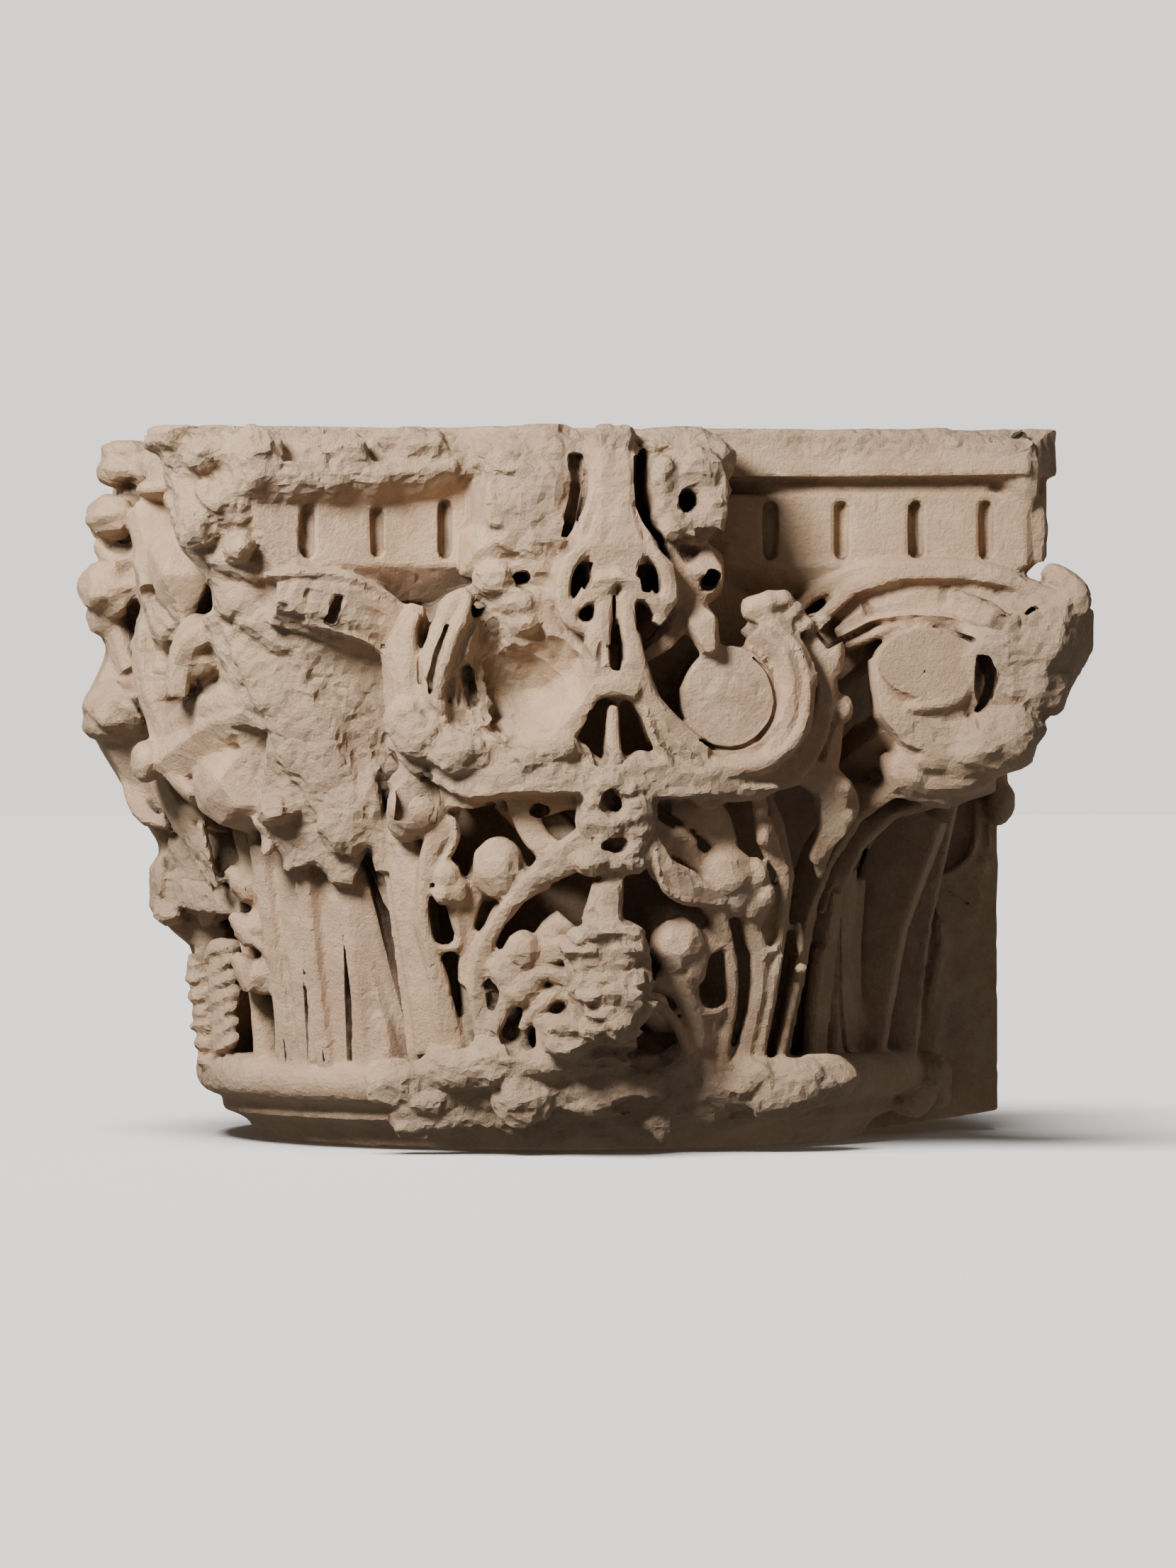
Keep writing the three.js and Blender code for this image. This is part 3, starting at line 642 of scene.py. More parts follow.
@dataclass
class HangingKnot(Carved):
    """The open knot under the flower, and the two stems that leave it."""

    crescents: Strokes = (
        Band([
            (-42, 550, 410), (-54, 532, 414), (-59, 510, 416), (-55, 484, 414), (-44, 465, 410),
            (-23, 457, 408),
        ], [3, 6, 6, 7, 8, 9], 24, Section.HOLLOW),
        Band([
            (47, 553, 412), (54, 533, 414), (57, 507, 414), (51, 482, 410), (39, 463, 404),
            (27, 457, 402),
        ], [3, 4, 4, 6, 7, 8], 24, Section.HOLLOW),
        Band([(-48, 481, 404), (-32, 465, 406), (-16, 453, 408)], [10, 14, 8], 24, Section.FLAT),
        Lump((-78, 482, 396), (14, 10, 22), rough=0.2),
        Lump((-37, 445, 390), (13, 13, 20), rough=0.2),
    )
    loops: Strokes = (
        Band([
            (-29, 552, 440), (-44, 534, 442), (-49, 514, 442), (-46, 492, 440), (-38, 479, 438),
            (-21, 478, 438),
        ], [5, 7, 7, 7, 5, 5], 24, Section.FLAT),
        Band([(32, 548, 440), (42, 532, 442), (47, 513, 440), (43, 499, 438), (31, 495, 438)],
            [5, 6, 6, 6, 4], 24, Section.FLAT),
        Band([
            (-34, 503, 442), (-23, 517, 446), (-5, 522, 450), (14, 519, 448), (27, 509, 444),
            (35, 501, 442),
        ], [4, 5, 5, 5, 6, 4], 18),
    )
    fingers: Strokes = (
        Band([(-12, 511, 440), (-13, 492, 444), (-15, 474, 446), (-17, 465, 446)],
            [7, 7, 7, 7], 30, Section.FLAT),
        Band([(9, 513, 440), (9, 492, 444), (10, 474, 446), (12, 465, 446)],
            [7, 7, 7, 7], 30, Section.FLAT),
        Band([(-3, 507, 452), (-3, 493, 452), (-3, 480, 452)], [2.5, 2, 1], 40, Section.FLAT, cut=True),
    )
    legs: Strokes = (
        Band([
            (-20, 471, 446), (-22, 452, 446), (-24, 433, 442), (-29, 414, 438), (-48, 395, 432),
            (-73, 379, 426), (-98, 371, 420), (-126, 373, 412),
        ], [7, 9, 12, 12, 12, 11, 11, 10], 34, Section.FLAT),
        Band([
            (15, 471, 446), (18, 452, 446), (21, 433, 442), (26, 414, 438), (42, 395, 434),
            (62, 379, 428), (85, 366, 424),
        ], [6, 7, 10, 12, 12, 11, 8], 34, Section.FLAT),
        Band([(-23, 420, 444), (-3, 425, 446), (18, 420, 444)], [9, 9, 9], 30, Section.FLAT),
        Band([(-17, 439, 438), (-2, 433, 440), (13, 439, 438)], [9, 10, 9], 24, Section.FLAT),
        Band([(-2, 463, 452), (-1, 449, 452), (-2, 439, 452)], [6, 6, 5], 44, Section.FLAT, cut=True),
        Lump((-15, 452, 450), (6, 18, 8), rough=0.1, cut=True),
    )
    window: Strokes = (
        Band([(-3, 408, 440), (-3, 385, 440), (-2, 357, 440)], [5, 5.5, 7], 24, Section.FLAT),
        Band([(-20, 404, 452), (-20, 385, 452), (-18, 366, 452)],
            [6, 8, 5], 80, Section.FLAT, cut=True),
        Band([(8, 407, 452), (10, 385, 452), (8, 363, 452)], [5, 7, 5], 80, Section.FLAT, cut=True),
        Lump((-25, 522, 452), (3, 12, 26), rough=0.05, cut=True),
        Band([(-26, 537, 452), (-28, 522, 452), (-30, 511, 452)],
            [6, 4, 2], 30, Section.FLAT, cut=True),
        Band([(24, 534, 452), (27, 524, 452), (26, 509, 452)], [6, 8, 5], 50, Section.FLAT, cut=True),
    )


@dataclass
class LeftScroll(Carved):
    """The broken scroll at the left: ridges round a rough hollow."""

    ridges: Strokes = (
        Band([
            (-130, 512, 404), (-145, 500, 408), (-156, 478, 408), (-164, 452, 406), (-167, 427, 404),
            (-166, 405, 400),
        ], [6, 10, 9, 8, 8, 8], 30),
        Band([
            (-130, 509, 412), (-136, 487, 416), (-147, 465, 418), (-156, 439, 418), (-159, 414, 414),
            (-152, 392, 410), (-135, 373, 408),
        ], [5, 8, 9, 9, 9, 9, 8], 32),
        Band([(-173, 493, 388), (-182, 475, 392), (-184, 449, 394), (-182, 424, 394), (-174, 405, 392)],
            [5, 10, 12, 12, 8], 34),
        Band([(-150, 481, 424), (-158, 458, 424), (-164, 433, 422), (-166, 414, 418)],
            [2, 4, 4, 2], 26, cut=True),
        Band([(-169, 481, 406), (-174, 452, 408), (-174, 427, 408)], [1.5, 3, 2], 20, cut=True),
    )
    hollow: Strokes = (
        Lump((-87, 426, 440), (52, 58, 62), rough=0.3, cut=True),
        Lump((-108, 446, 424), (28, 46, 46), rough=0.2, grain=3, cut=True),
        Lump((-105, 430, 430), (34, 46, 50), rough=0.15, grain=3, cut=True),
        Lump((-55, 439, 440), (34, 40, 56), rough=0.12, grain=3, cut=True),
        Lump((-137, 420, 428), (8, 30, 36), rough=0.1, cut=True),
        Lump((-118, 398, 396), (10, 12, 16), rough=0.2),
        Band([(-125, 456, 404), (-118, 430, 396), (-111, 405, 398)], [5, 6, 8], 24, wave=0.4),
    )
    left_knob: Strokes = (
        Lump((-186, 395, 388), (22, 20, 22), rough=0.12),
        Lump((-169, 379, 392), (30, 24, 26), rough=0.2, grain=3),
        Lump((-138, 366, 402), (34, 22, 26), rough=0.25, grain=3),
        Band([(-195, 325, 398), (-156, 322, 398)], [22, 22], 22, Section.FLAT, cut=True),
        Band([(-195, 350, 370), (-180, 336, 376), (-166, 318, 376)], [14, 16, 10], 30),
        Band([(-196, 376, 380), (-175, 363, 388), (-153, 347, 394), (-137, 338, 398)],
            [8, 10, 10, 8], 26, wave=0.3),
    )


@dataclass
class LeafEdge(Carved):
    """The broken edge of the lower leaves, and what stands under it in the middle and at the left."""

    left_half: Strokes = (
        Band([
            (-190, 392, 384), (-169, 371, 398), (-145, 352, 408), (-107, 355, 418), (-70, 365, 428),
            (-39, 365, 434), (-23, 354, 438),
        ], [10, 14, 15, 12, 14, 13, 10], 40, wave=0.5),
        Band([
            (-169, 347, 392), (-144, 340, 402), (-113, 346, 412), (-88, 352, 420), (-63, 346, 424),
            (-32, 347, 430),
        ], [6, 7, 6, 8, 7, 9], 34, wave=0.6),
        Lump((-79, 360, 424), (18, 14, 16), rough=0.3, grain=3),
        Lump((-51, 369, 428), (20, 14, 16), rough=0.3, grain=3),
    )
    right_half: Strokes = (
        Band([
            (-23, 347, 436), (-1, 348, 440), (25, 354, 440), (51, 350, 436), (75, 341, 428),
            (98, 336, 424), (124, 333, 420), (151, 334, 414),
        ], [10, 12, 12, 9, 8, 7, 6, 5], 34, wave=0.4),
        Band([(26, 404, 442), (35, 379, 438), (51, 354, 434), (68, 338, 428), (82, 323, 424)],
            [4, 5, 6, 7, 3], 20, Section.RIDGE),
        Band([(58, 347, 430), (75, 329, 428), (88, 320, 422), (99, 322, 418)],
            [5, 9, 8, 4], 24, Section.HOLLOW),
        Band([(38, 398, 438), (51, 379, 436), (74, 363, 432)], [3, 4, 4], 16, Section.RIDGE),
    )
    drilled_plate: Strokes = (
        Band([(-89, 333, 398), (-67, 325, 402), (-42, 328, 406), (-29, 322, 410)],
            [16, 18, 14, 10], 14, Section.FLAT),
        Band([(-86, 325, 396), (-76, 302, 396), (-63, 283, 398), (-48, 277, 402)],
            [10, 12, 12, 8], 12, Section.FLAT),
        Lump((-66, 313, 404), (10, 8, 24), rough=0.3, cut=True),
        Band([(-79, 329, 408), (-61, 329, 410), (-42, 329, 412)], [3, 3, 3], 10, Section.RIDGE),
        Band([(54, 318, 404), (79, 315, 398), (96, 299, 388), (111, 276, 380)],
            [10, 18, 18, 10], 14, Section.FLAT),
    )
    knot_rings: Strokes = (
        *lump_ring((-2.6, 319.2, 434), (19.2, 18.9), (10, 10, 14)),
        *lump_ring((-1, 280, 430), (16.5, 13.5), (9, 9, 13)),
        Lump((-4, 321, 446), (11, 12, 24), rough=0.25, cut=True),
        Lump((-3, 282, 446), (13, 7, 20), rough=0.2, cut=True),
        Lump((20, 309, 428), (14, 26, 18), rough=0.3, grain=3),
        Lump((-24, 303, 428), (12, 22, 18), rough=0.3, grain=3),
        Lump((-21, 268, 424), (16, 14, 18), rough=0.3, grain=3),
        Lump((14, 267, 424), (16, 14, 18), rough=0.3, grain=3),
    )
    left_strap: Strokes = (
        Band([(-25, 284, 430), (-41, 268, 424), (-59, 255, 416), (-75, 242, 408), (-91, 231, 402)],
            [12, 13, 11, 9, 7], 24, wave=0.25),
        Band([
            (-92, 231, 404), (-102, 213, 396), (-112, 194, 386), (-117, 171, 376), (-118, 148, 370),
            (-113, 122, 366), (-107, 100, 360),
        ], [5, 7, 8, 8, 9, 10, 11], 26, Section.FLAT),
        Band([(-77, 237, 408), (-91, 223, 398), (-101, 205, 388), (-105, 187, 378)],
            [2, 3, 3, 2], 14, Section.RIDGE),
    )
    bar: Strokes = (
        Band([(-4, 248, 430), (-5, 229, 430), (-5, 212, 430)], [11, 11, 10.5], 26, Section.FLAT),
        Band([(-15, 248, 424), (-19, 226, 420), (-23, 210, 414)], [5, 6, 6], 20, Section.FLAT),
    )
    left_bud: Strokes = (
        Lump((-101, 261, 382), (24, 28, 28), rough=0.12),
        Band([(-118, 248, 378), (-125, 219, 370), (-128, 187, 362), (-129, 154, 358)],
            [10, 7, 6, 6], 22, Section.FLAT),
    )
    knobbly_leaf: Strokes = (
        Lump((-147, 254, 378), (12, 14, 12), rough=0.15),
        Lump((-151, 237, 378), (9, 10, 10), rough=0.15),
        Lump((-138, 241, 376), (10, 14, 12), rough=0.15),
        Band([(-143, 235, 376), (-138, 216, 372), (-135, 196, 368), (-140, 184, 366)],
            [8, 6, 5, 4], 18),
        Band([(-167, 219, 370), (-164, 196, 368), (-153, 188, 366), (-140, 189, 366)],
            [3, 4, 4, 4], 16),
    )
    hooked_strap: Strokes = (
        Band([
            (-145, 304, 390), (-157, 290, 388), (-165, 267, 382), (-168, 242, 376), (-167, 213, 370),
            (-161, 187, 366), (-153, 161, 360), (-147, 129, 354), (-139, 96, 348),
        ], [9, 10, 7, 5, 5, 6, 9, 11, 13], 22, Section.FLAT),
        Band([(-143, 306, 396), (-140, 290, 392), (-149, 270, 386), (-160, 254, 380)],
            [3, 5, 4, 2], 14, Section.RIDGE),
    )
    far_left_bud: Strokes = (
        Lump((-173, 316, 366), (30, 26, 36), rough=0.05),
        Lump((-181, 306, 356), (22, 22, 26), rough=0.08),
    )
    wide_stalk: Strokes = (
        Band([(-180, 293, 342), (-184, 251, 340), (-178, 199, 338), (-169, 147, 338), (-161, 89, 336)],
            [14, 15, 15, 14, 14], 34, Section.FLAT, radial=True),
        Band([(-193, 315, 330), (-194, 257, 330), (-187, 199, 330), (-177, 147, 332), (-168, 89, 332)],
            [2.5, 3.5, 3.5, 4, 4], 20, Section.RIDGE, radial=True),
    )
    worn_cone: Strokes = (
        Lump((-13, 201, 424), (26, 12, 24), rough=0.5),
        Lump((8, 202, 419), (20, 12, 24), rough=0.5),
        Lump((-20, 185, 421), (28, 14, 24), rough=0.5),
        Lump((7, 185, 423), (24, 14, 24), rough=0.5),
        Lump((-10, 167, 418), (32, 14, 24), rough=0.5),
        Lump((13, 162, 420), (20, 13, 24), rough=0.5),
        Lump((-24, 150, 422), (20, 15, 24), rough=0.5),
        Lump((1, 150, 424), (30, 16, 24), rough=0.5),
        Lump((14, 137, 419), (22, 13, 24), rough=0.5),
        Lump((-11, 130, 421), (26, 15, 24), rough=0.5),
        Lump((3, 119, 423), (20, 12, 24), rough=0.5),
        Lump((-21, 114, 418), (14, 12, 24), rough=0.5),
        Band([(-29, 212, 416), (-12, 202, 428), (13, 206, 422)], [5, 7, 5], 20, Section.RIDGE),
        Band([(-40, 213, 396), (-53, 200, 392), (-59, 187, 388)], [14, 16, 12], 20),
    )
    arches_under_cone: Strokes = (
        Band([(-103, 109, 380), (-96, 136, 388), (-82, 157, 394), (-61, 167, 398), (-41, 162, 402)],
            [8, 9, 9, 8, 8], 22),
        Band([(-81, 113, 386), (-69, 133, 392), (-47, 146, 398), (-29, 139, 404)],
            [6, 8, 8, 8], 20, wave=0.3),
        Band([(-66, 174, 392), (-47, 187, 396), (-38, 190, 400)], [12, 13, 9], 26),
        Lump((-80, 188, 386), (16, 18, 18), rough=0.12),
        Lump((-90, 168, 380), (20, 22, 14), rough=0.2),
        Lump((-81, 152, 382), (20, 18, 16), rough=0.25),
        Band([(-109, 171, 372), (-96, 180, 378), (-85, 184, 382)], [5, 6, 5], 18),
        Lump((-39, 117, 412), (22, 10, 18), rough=0.3, grain=3),
        Lump((-42, 99, 408), (22, 12, 20), rough=0.35, grain=3),
    )
    right_bud: Strokes = (
        Lump((62, 190, 382), (24, 27, 26), rough=0.2),
        Lump((75, 175, 378), (16, 26, 20), rough=0.15),
        Band([(44, 207, 392), (55, 193, 404), (66, 177, 400)], [4, 5, 3], 16, Section.RIDGE),
        Band([(41, 158, 392), (61, 153, 390), (78, 128, 380), (87, 96, 366)], [10, 12, 12, 10], 24),
        Band([(27, 133, 398), (44, 136, 396), (61, 119, 390), (76, 89, 372)], [6, 6, 5, 5], 20),
    )
    folded_leaf: Strokes = (
        Band([(35, 280, 432), (49, 261, 426), (70, 251, 416), (87, 240, 406), (103, 230, 398)],
            [4, 9, 10, 8, 3], 18, Section.HOLLOW),
        Band([
            (36, 280, 434), (39, 258, 432), (46, 242, 428), (65, 231, 418), (87, 229, 406),
            (104, 228, 398),
        ], [2, 3, 4, 4, 4, 3], 14, Section.RIDGE),
        Band([(44, 287, 420), (61, 290, 408), (79, 280, 398)], [8, 10, 6], 16),
    )
    far_right_bud: Strokes = (
        Lump((106, 256, 378), (26, 25, 26), rough=0.15),
        Lump((115, 241, 372), (20, 26, 22), rough=0.08),
    )


@dataclass
class RightStraps(Carved):
    """The straps and leaf heads at the right of the middle."""

    straps: Strokes = (
        Band([
            (88, 237, 400), (101, 212, 390), (111, 183, 380), (115, 147, 370), (112, 115, 360),
            (107, 87, 352),
        ], [10, 8, 6, 6, 5, 5], 22, Section.FLAT),
        Band([
            (97, 193, 386), (84, 183, 384), (75, 167, 380), (76, 148, 374), (86, 115, 362),
            (88, 87, 354),
        ], [8, 9, 9, 8, 7, 7], 22, Section.FLAT),
        Band([(86, 131, 372), (99, 129, 372), (107, 134, 372)], [4, 4, 3], 16),
        Band([(100, 129, 366), (98, 108, 360), (97, 89, 354)], [5, 4, 4], 18),
        Lump((97, 157, 382), (9, 28, 26), rough=0.08, cut=True),
    )
    lobed_leaf: Strokes = (
        Lump((134, 254, 378), (12, 16, 14), rough=0.2),
        Lump((144, 236, 376), (9, 14, 12), rough=0.2),
        Lump((132, 228, 374), (12, 16, 12), rough=0.2),
        Band([(133, 260, 380), (138, 234, 378), (132, 209, 374), (132, 186, 368)],
            [8, 12, 10, 6], 18, wave=0.3),
    )
    leaf_head: Strokes = (
        Band([
            (136, 315, 392), (142, 299, 390), (150, 276, 384), (162, 254, 378), (162, 218, 370),
            (159, 186, 364),
        ], [4, 10, 9, 6, 4, 4], 22, Section.HOLLOW),
        Lump((137, 315, 388), (8, 10, 12), rough=0.1),
        Lump((141, 289, 384), (7, 10, 12), rough=0.15),
        Band([(125, 218, 374), (137, 196, 370), (140, 166, 364), (137, 134, 358), (128, 88, 348)],
            [5, 8, 8, 7, 8], 24, Section.FLAT),
        Band([(137, 187, 368), (148, 184, 368), (158, 187, 368)], [4, 4, 4], 18),
        Band([(160, 182, 364), (154, 153, 358), (149, 121, 352), (143, 87, 346)],
            [4, 4, 4, 5], 22, Section.FLAT),
    )
    short_stalk: Strokes = (
        Band([(179, 211, 352), (181, 192, 350), (181, 179, 348)], [3, 5, 3], 16),
        Lump((181, 168, 346), (7, 6, 8), rough=0.3),
        Band([(178, 156, 344), (171, 120, 338), (163, 86, 334)], [6, 5, 5], 40, Section.FLAT),
    )


def cone_scales(count: int) -> Strokes:
    """The overlapping scales of the cone on the left side, from the top down.

    Args:
        count: how many rows of scales there are.

    Returns:
        A crest across each row and a lump under it.
    """
    scales = []
    for i in range(count):
        shift = i * 5 % 7 - 3  # how far this row is out of line
        scales.append(Band([
            (round(-364.1 + 1.28 * i), round(176.1 - 15.57 * i - 0.75 * shift), 40),
            (round(-352.6 + 1.35 * i), round(169.4 - 15.47 * i), 70),
            (round(-341.6 + 0.53 * i), round(176.2 - 15.42 * i - 0.66 * shift), 96),
            (-331, round(182.4 - 15.47 * i), 118),
        ], [6, 10 + shift, 9, 5], 22, Section.RIDGE, wave=0.4))
        spot = (round(-356.6 + 1.86 * i), round(167.1 - 15.55 * i + 0.56 * shift), 56)
        scales.append(Lump(spot, (11 + shift, 8, 16), rough=0.35))
    return tuple(scales)


@dataclass
class LeftSide(Carved):
    """The worn carving of the left side, seen from its end."""

    top_block: Strokes = (
        Band([(-431, 651, 60), (-419, 642, 100), (-402, 636, 150), (-391, 623, 190)],
            [14, 20, 20, 12], 60, wave=0.2),
        Lump((-421, 651, 60), (26, 14, 40), rough=0.2, grain=3),
        Lump((-428, 633, 70), (22, 16, 36), rough=0.15, grain=3),
        Lump((-392, 613, 150), (26, 10, 40), rough=0.2, grain=3),
        Lump((-392, 666, 150), (20, 10, 30), rough=0.2, grain=3),
    )
    curled_boss: Strokes = (
        Lump((-438, 589, 110), (23, 21, 36), rough=0.3),
        Band([(-453, 568, 104), (-440, 551, 112), (-420, 549, 120), (-407, 564, 128), (-401, 577, 132)],
            [7, 9, 9, 8, 5], 30),
        Band([(-417, 591, 126), (-416, 577, 126), (-424, 566, 120), (-436, 564, 112)],
            [2, 3, 3, 2], 14, cut=True),
    )
    hollowed_mass: Strokes = (
        Lump((-435, 522, 70), (32, 32, 54), rough=0.35),
        Lump((-410, 515, 186), (15, 9, 22), rough=0.1, cut=True),
        Lump((-393, 604, 196), (20, 7, 20), rough=0.3, cut=True),
        Lump((-415, 631, 160), (12, 10, 24), rough=0.3, cut=True),
        Lump((-440, 496, 50), (20, 20, 40), rough=0.15),
        Band([(-401, 606, 150), (-391, 566, 168), (-383, 526, 186), (-374, 485, 210)],
            [24, 30, 32, 26], 90, Section.FLAT, wave=0.2),
        Band([(-441, 546, 74), (-436, 515, 84), (-429, 482, 88), (-418, 448, 96)],
            [20, 24, 18, 14], 80, wave=0.3),
        Band([(-378, 486, 200), (-361, 468, 240), (-352, 439, 262)],
            [20, 18, 12], 60, Section.FLAT, wave=0.15),
        Lump((-362, 453, 254), (22, 20, 26), rough=0.1),
    )
    rib: Strokes = (
        Band([(-407, 494, 120), (-417, 461, 130), (-416, 427, 138), (-408, 394, 146), (-402, 368, 150)],
            [9, 11, 11, 10, 9], 50, radial=True),
        Band([(-392, 487, 150), (-400, 454, 156), (-398, 417, 160)],
            [12, 12, 8], 40, radial=True, wave=0.2),
    )
    recess: Strokes = (
        Lump((-360, 443, 326), (22, 30, 24), rough=0.05, cut=True),
        Band([(-385, 416, 268), (-382, 445, 276), (-373, 467, 290), (-355, 477, 300), (-332, 483, 312)],
            [10, 12, 12, 12, 10], 60, Section.FLAT),
        Band([(-331, 483, 318), (-327, 444, 318), (-326, 405, 314)], [6, 5, 5], 40, Section.RIDGE),
    )
    low_mass: Strokes = (
        Lump((-427, 408, 60), (34, 28, 60), rough=0.35),
        Lump((-440, 395, 50), (24, 18, 50), rough=0.12, grain=3),
    )
    roll: Strokes = (
        Band([(-393, 377, 190), (-374, 396, 236), (-353, 407, 276), (-328, 415, 312)],
            [12, 17, 20, 20], 40),
        Band([(-387, 366, 190), (-358, 374, 250), (-326, 399, 310)], [8, 10, 10], 30, Section.FLAT),
        Band([(-403, 344, 170), (-391, 351, 190), (-378, 341, 206), (-369, 329, 216)],
            [10, 12, 10, 6], 34),
        Lump((-409, 358, 160), (14, 20, 34), rough=0.1),
    )
    bulge: Strokes = (
        Band([(-364, 357, 232), (-336, 351, 262), (-305, 349, 284), (-280, 341, 294)],
            [18, 29, 27, 14], 70),
        Band([(-351, 328, 236), (-323, 318, 262), (-298, 321, 280)], [12, 18, 12], 50),
        Band([(-293, 370, 300), (-290, 351, 300), (-299, 334, 296)], [6, 7, 6], 30),
        Band([(-363, 351, 332), (-308, 344, 332)], [42, 42], 52, Section.FLAT, cut=True),
    )
    notched_knob: Strokes = (
        Lump((-296, 312, 300), (20, 14, 28), rough=0.2),
        Band([(-308, 302, 296), (-302, 289, 292), (-305, 270, 288)], [8, 7, 5], 34),
        Band([(-286, 299, 296), (-283, 279, 290), (-286, 256, 286)], [5, 5, 4], 24),
        Lump((-296, 286, 316), (5, 14, 20), rough=0.1, cut=True),
    )
    far_tips: Strokes = (
        Band([(-426, 368, 40), (-417, 341, 60), (-408, 314, 70), (-392, 302, 90)],
            [8, 10, 10, 4], 30, Section.HOLLOW),
        Band([(-408, 368, 70), (-396, 341, 86), (-386, 314, 96)], [5, 7, 4], 24, Section.RIDGE),
        Band([(-384, 321, 120), (-365, 314, 150), (-353, 308, 170)], [10, 12, 8], 40),
        Band([(-377, 294, 60), (-358, 264, 80), (-339, 241, 100), (-343, 224, 110)],
            [14, 18, 16, 8], 50),
        Band([(-385, 273, 40), (-370, 240, 60), (-348, 224, 90), (-330, 226, 110)],
            [10, 12, 12, 6], 40, wave=0.2),
        Lump((-389, 246, 30), (10, 24, 30), rough=0.2, grain=3),
        Lump((-379, 213, 40), (18, 12, 30), rough=0.15, grain=3),
        Lump((-391, 223, 30), (8, 10, 20), rough=0.2),
        Band([(-358, 301, 190), (-351, 268, 186), (-341, 239, 180)], [5, 6, 6], 30, Section.RIDGE),
    )
    three_lobes: Strokes = (
        Band([(-335, 260, 180), (-323, 249, 190), (-314, 230, 192)], [9, 15, 6], 36),
        Band([(-333, 217, 182), (-320, 206, 192), (-313, 188, 194)], [8, 14, 6], 36),
        Band([(-330, 179, 186), (-319, 167, 194), (-314, 144, 194)], [8, 13, 5], 36),
        Band([(-329, 257, 198), (-320, 245, 200), (-315, 234, 198)], [1.5, 2, 1], 10, cut=True),
        Band([(-326, 213, 200), (-318, 201, 202), (-314, 191, 200)], [1.5, 2, 1], 10, cut=True),
        Band([(-309, 239, 196), (-293, 226, 214), (-284, 203, 222), (-279, 177, 224)],
            [5, 6, 6, 5], 24),
        Band([(-312, 193, 196), (-298, 180, 210), (-287, 157, 216)], [4, 5, 4], 20),
    )
    cone_scales: Strokes = cone_scales(7)
    stalks: Strokes = (
        Band([(-327, 301, 177), (-313, 255, 189), (-297, 209, 200), (-288, 143, 199), (-285, 79, 196)],
            [14, 15, 14, 13, 13], 30, Section.FLAT, radial=True),
        Band([(-341, 274, 79), (-324, 208, 127), (-311, 142, 149), (-306, 77, 155)],
            [8, 9, 10, 12], 30, radial=True),
        Band([(-286, 249, 232), (-275, 164, 223), (-271, 80, 218)],
            [3, 4, 4], 24, Section.RIDGE, radial=True),
        Band([(-259, 250, 259), (-257, 164, 242), (-257, 81, 235)],
            [13, 13, 13], 30, Section.FLAT, radial=True),
        Band([(-281, 233, 222), (-279, 157, 208), (-277, 79, 202)],
            [7, 7, 7], 24, Section.FLAT, radial=True),
        Band([(-239, 217, 267), (-241, 158, 257), (-243, 81, 246)],
            [5, 7, 7], 30, Section.RIDGE, radial=True),
        Band([(-222, 237, 265), (-218, 158, 261), (-214, 82, 259)], [14, 18, 22], 30, radial=True),
        Band([(-212, 129, 273), (-210, 106, 272), (-208, 82, 271)], [5, 12, 16], 10, radial=True),
        Band([(-225, 266, 281), (-217, 217, 280), (-205, 152, 281), (-192, 83, 284)],
            [4, 4, 5, 5], 30, Section.RIDGE, radial=True),
    )
    grooves: Strokes = (
        Band([(-223, 276, 298), (-212, 231, 298), (-199, 179, 302), (-188, 127, 307), (-178, 82, 311)],
            [2, 5, 8, 10, 12], 46, Section.RIDGE, radial=True, cut=True),
        Band([(-284, 239, 231), (-284, 157, 211), (-284, 78, 204)],
            [1.5, 2, 2], 16, radial=True, cut=True),
        Band([(-270, 233, 247), (-267, 157, 235), (-266, 79, 230)],
            [1.5, 2, 2], 16, radial=True, cut=True),
        Band([(-246, 253, 274), (-247, 210, 265), (-250, 145, 253), (-251, 79, 247)],
            [2.5, 3, 3, 2], 20, radial=True, cut=True),
        Band([(-234, 211, 279), (-232, 145, 273), (-233, 80, 266)],
            [2, 4, 3], 22, radial=True, cut=True),
        Band([(-191, 256, 296), (-181, 198, 295), (-173, 146, 297), (-162, 83, 301)],
            [3, 3, 3.5, 4], 24, Section.RIDGE, radial=True),
    )


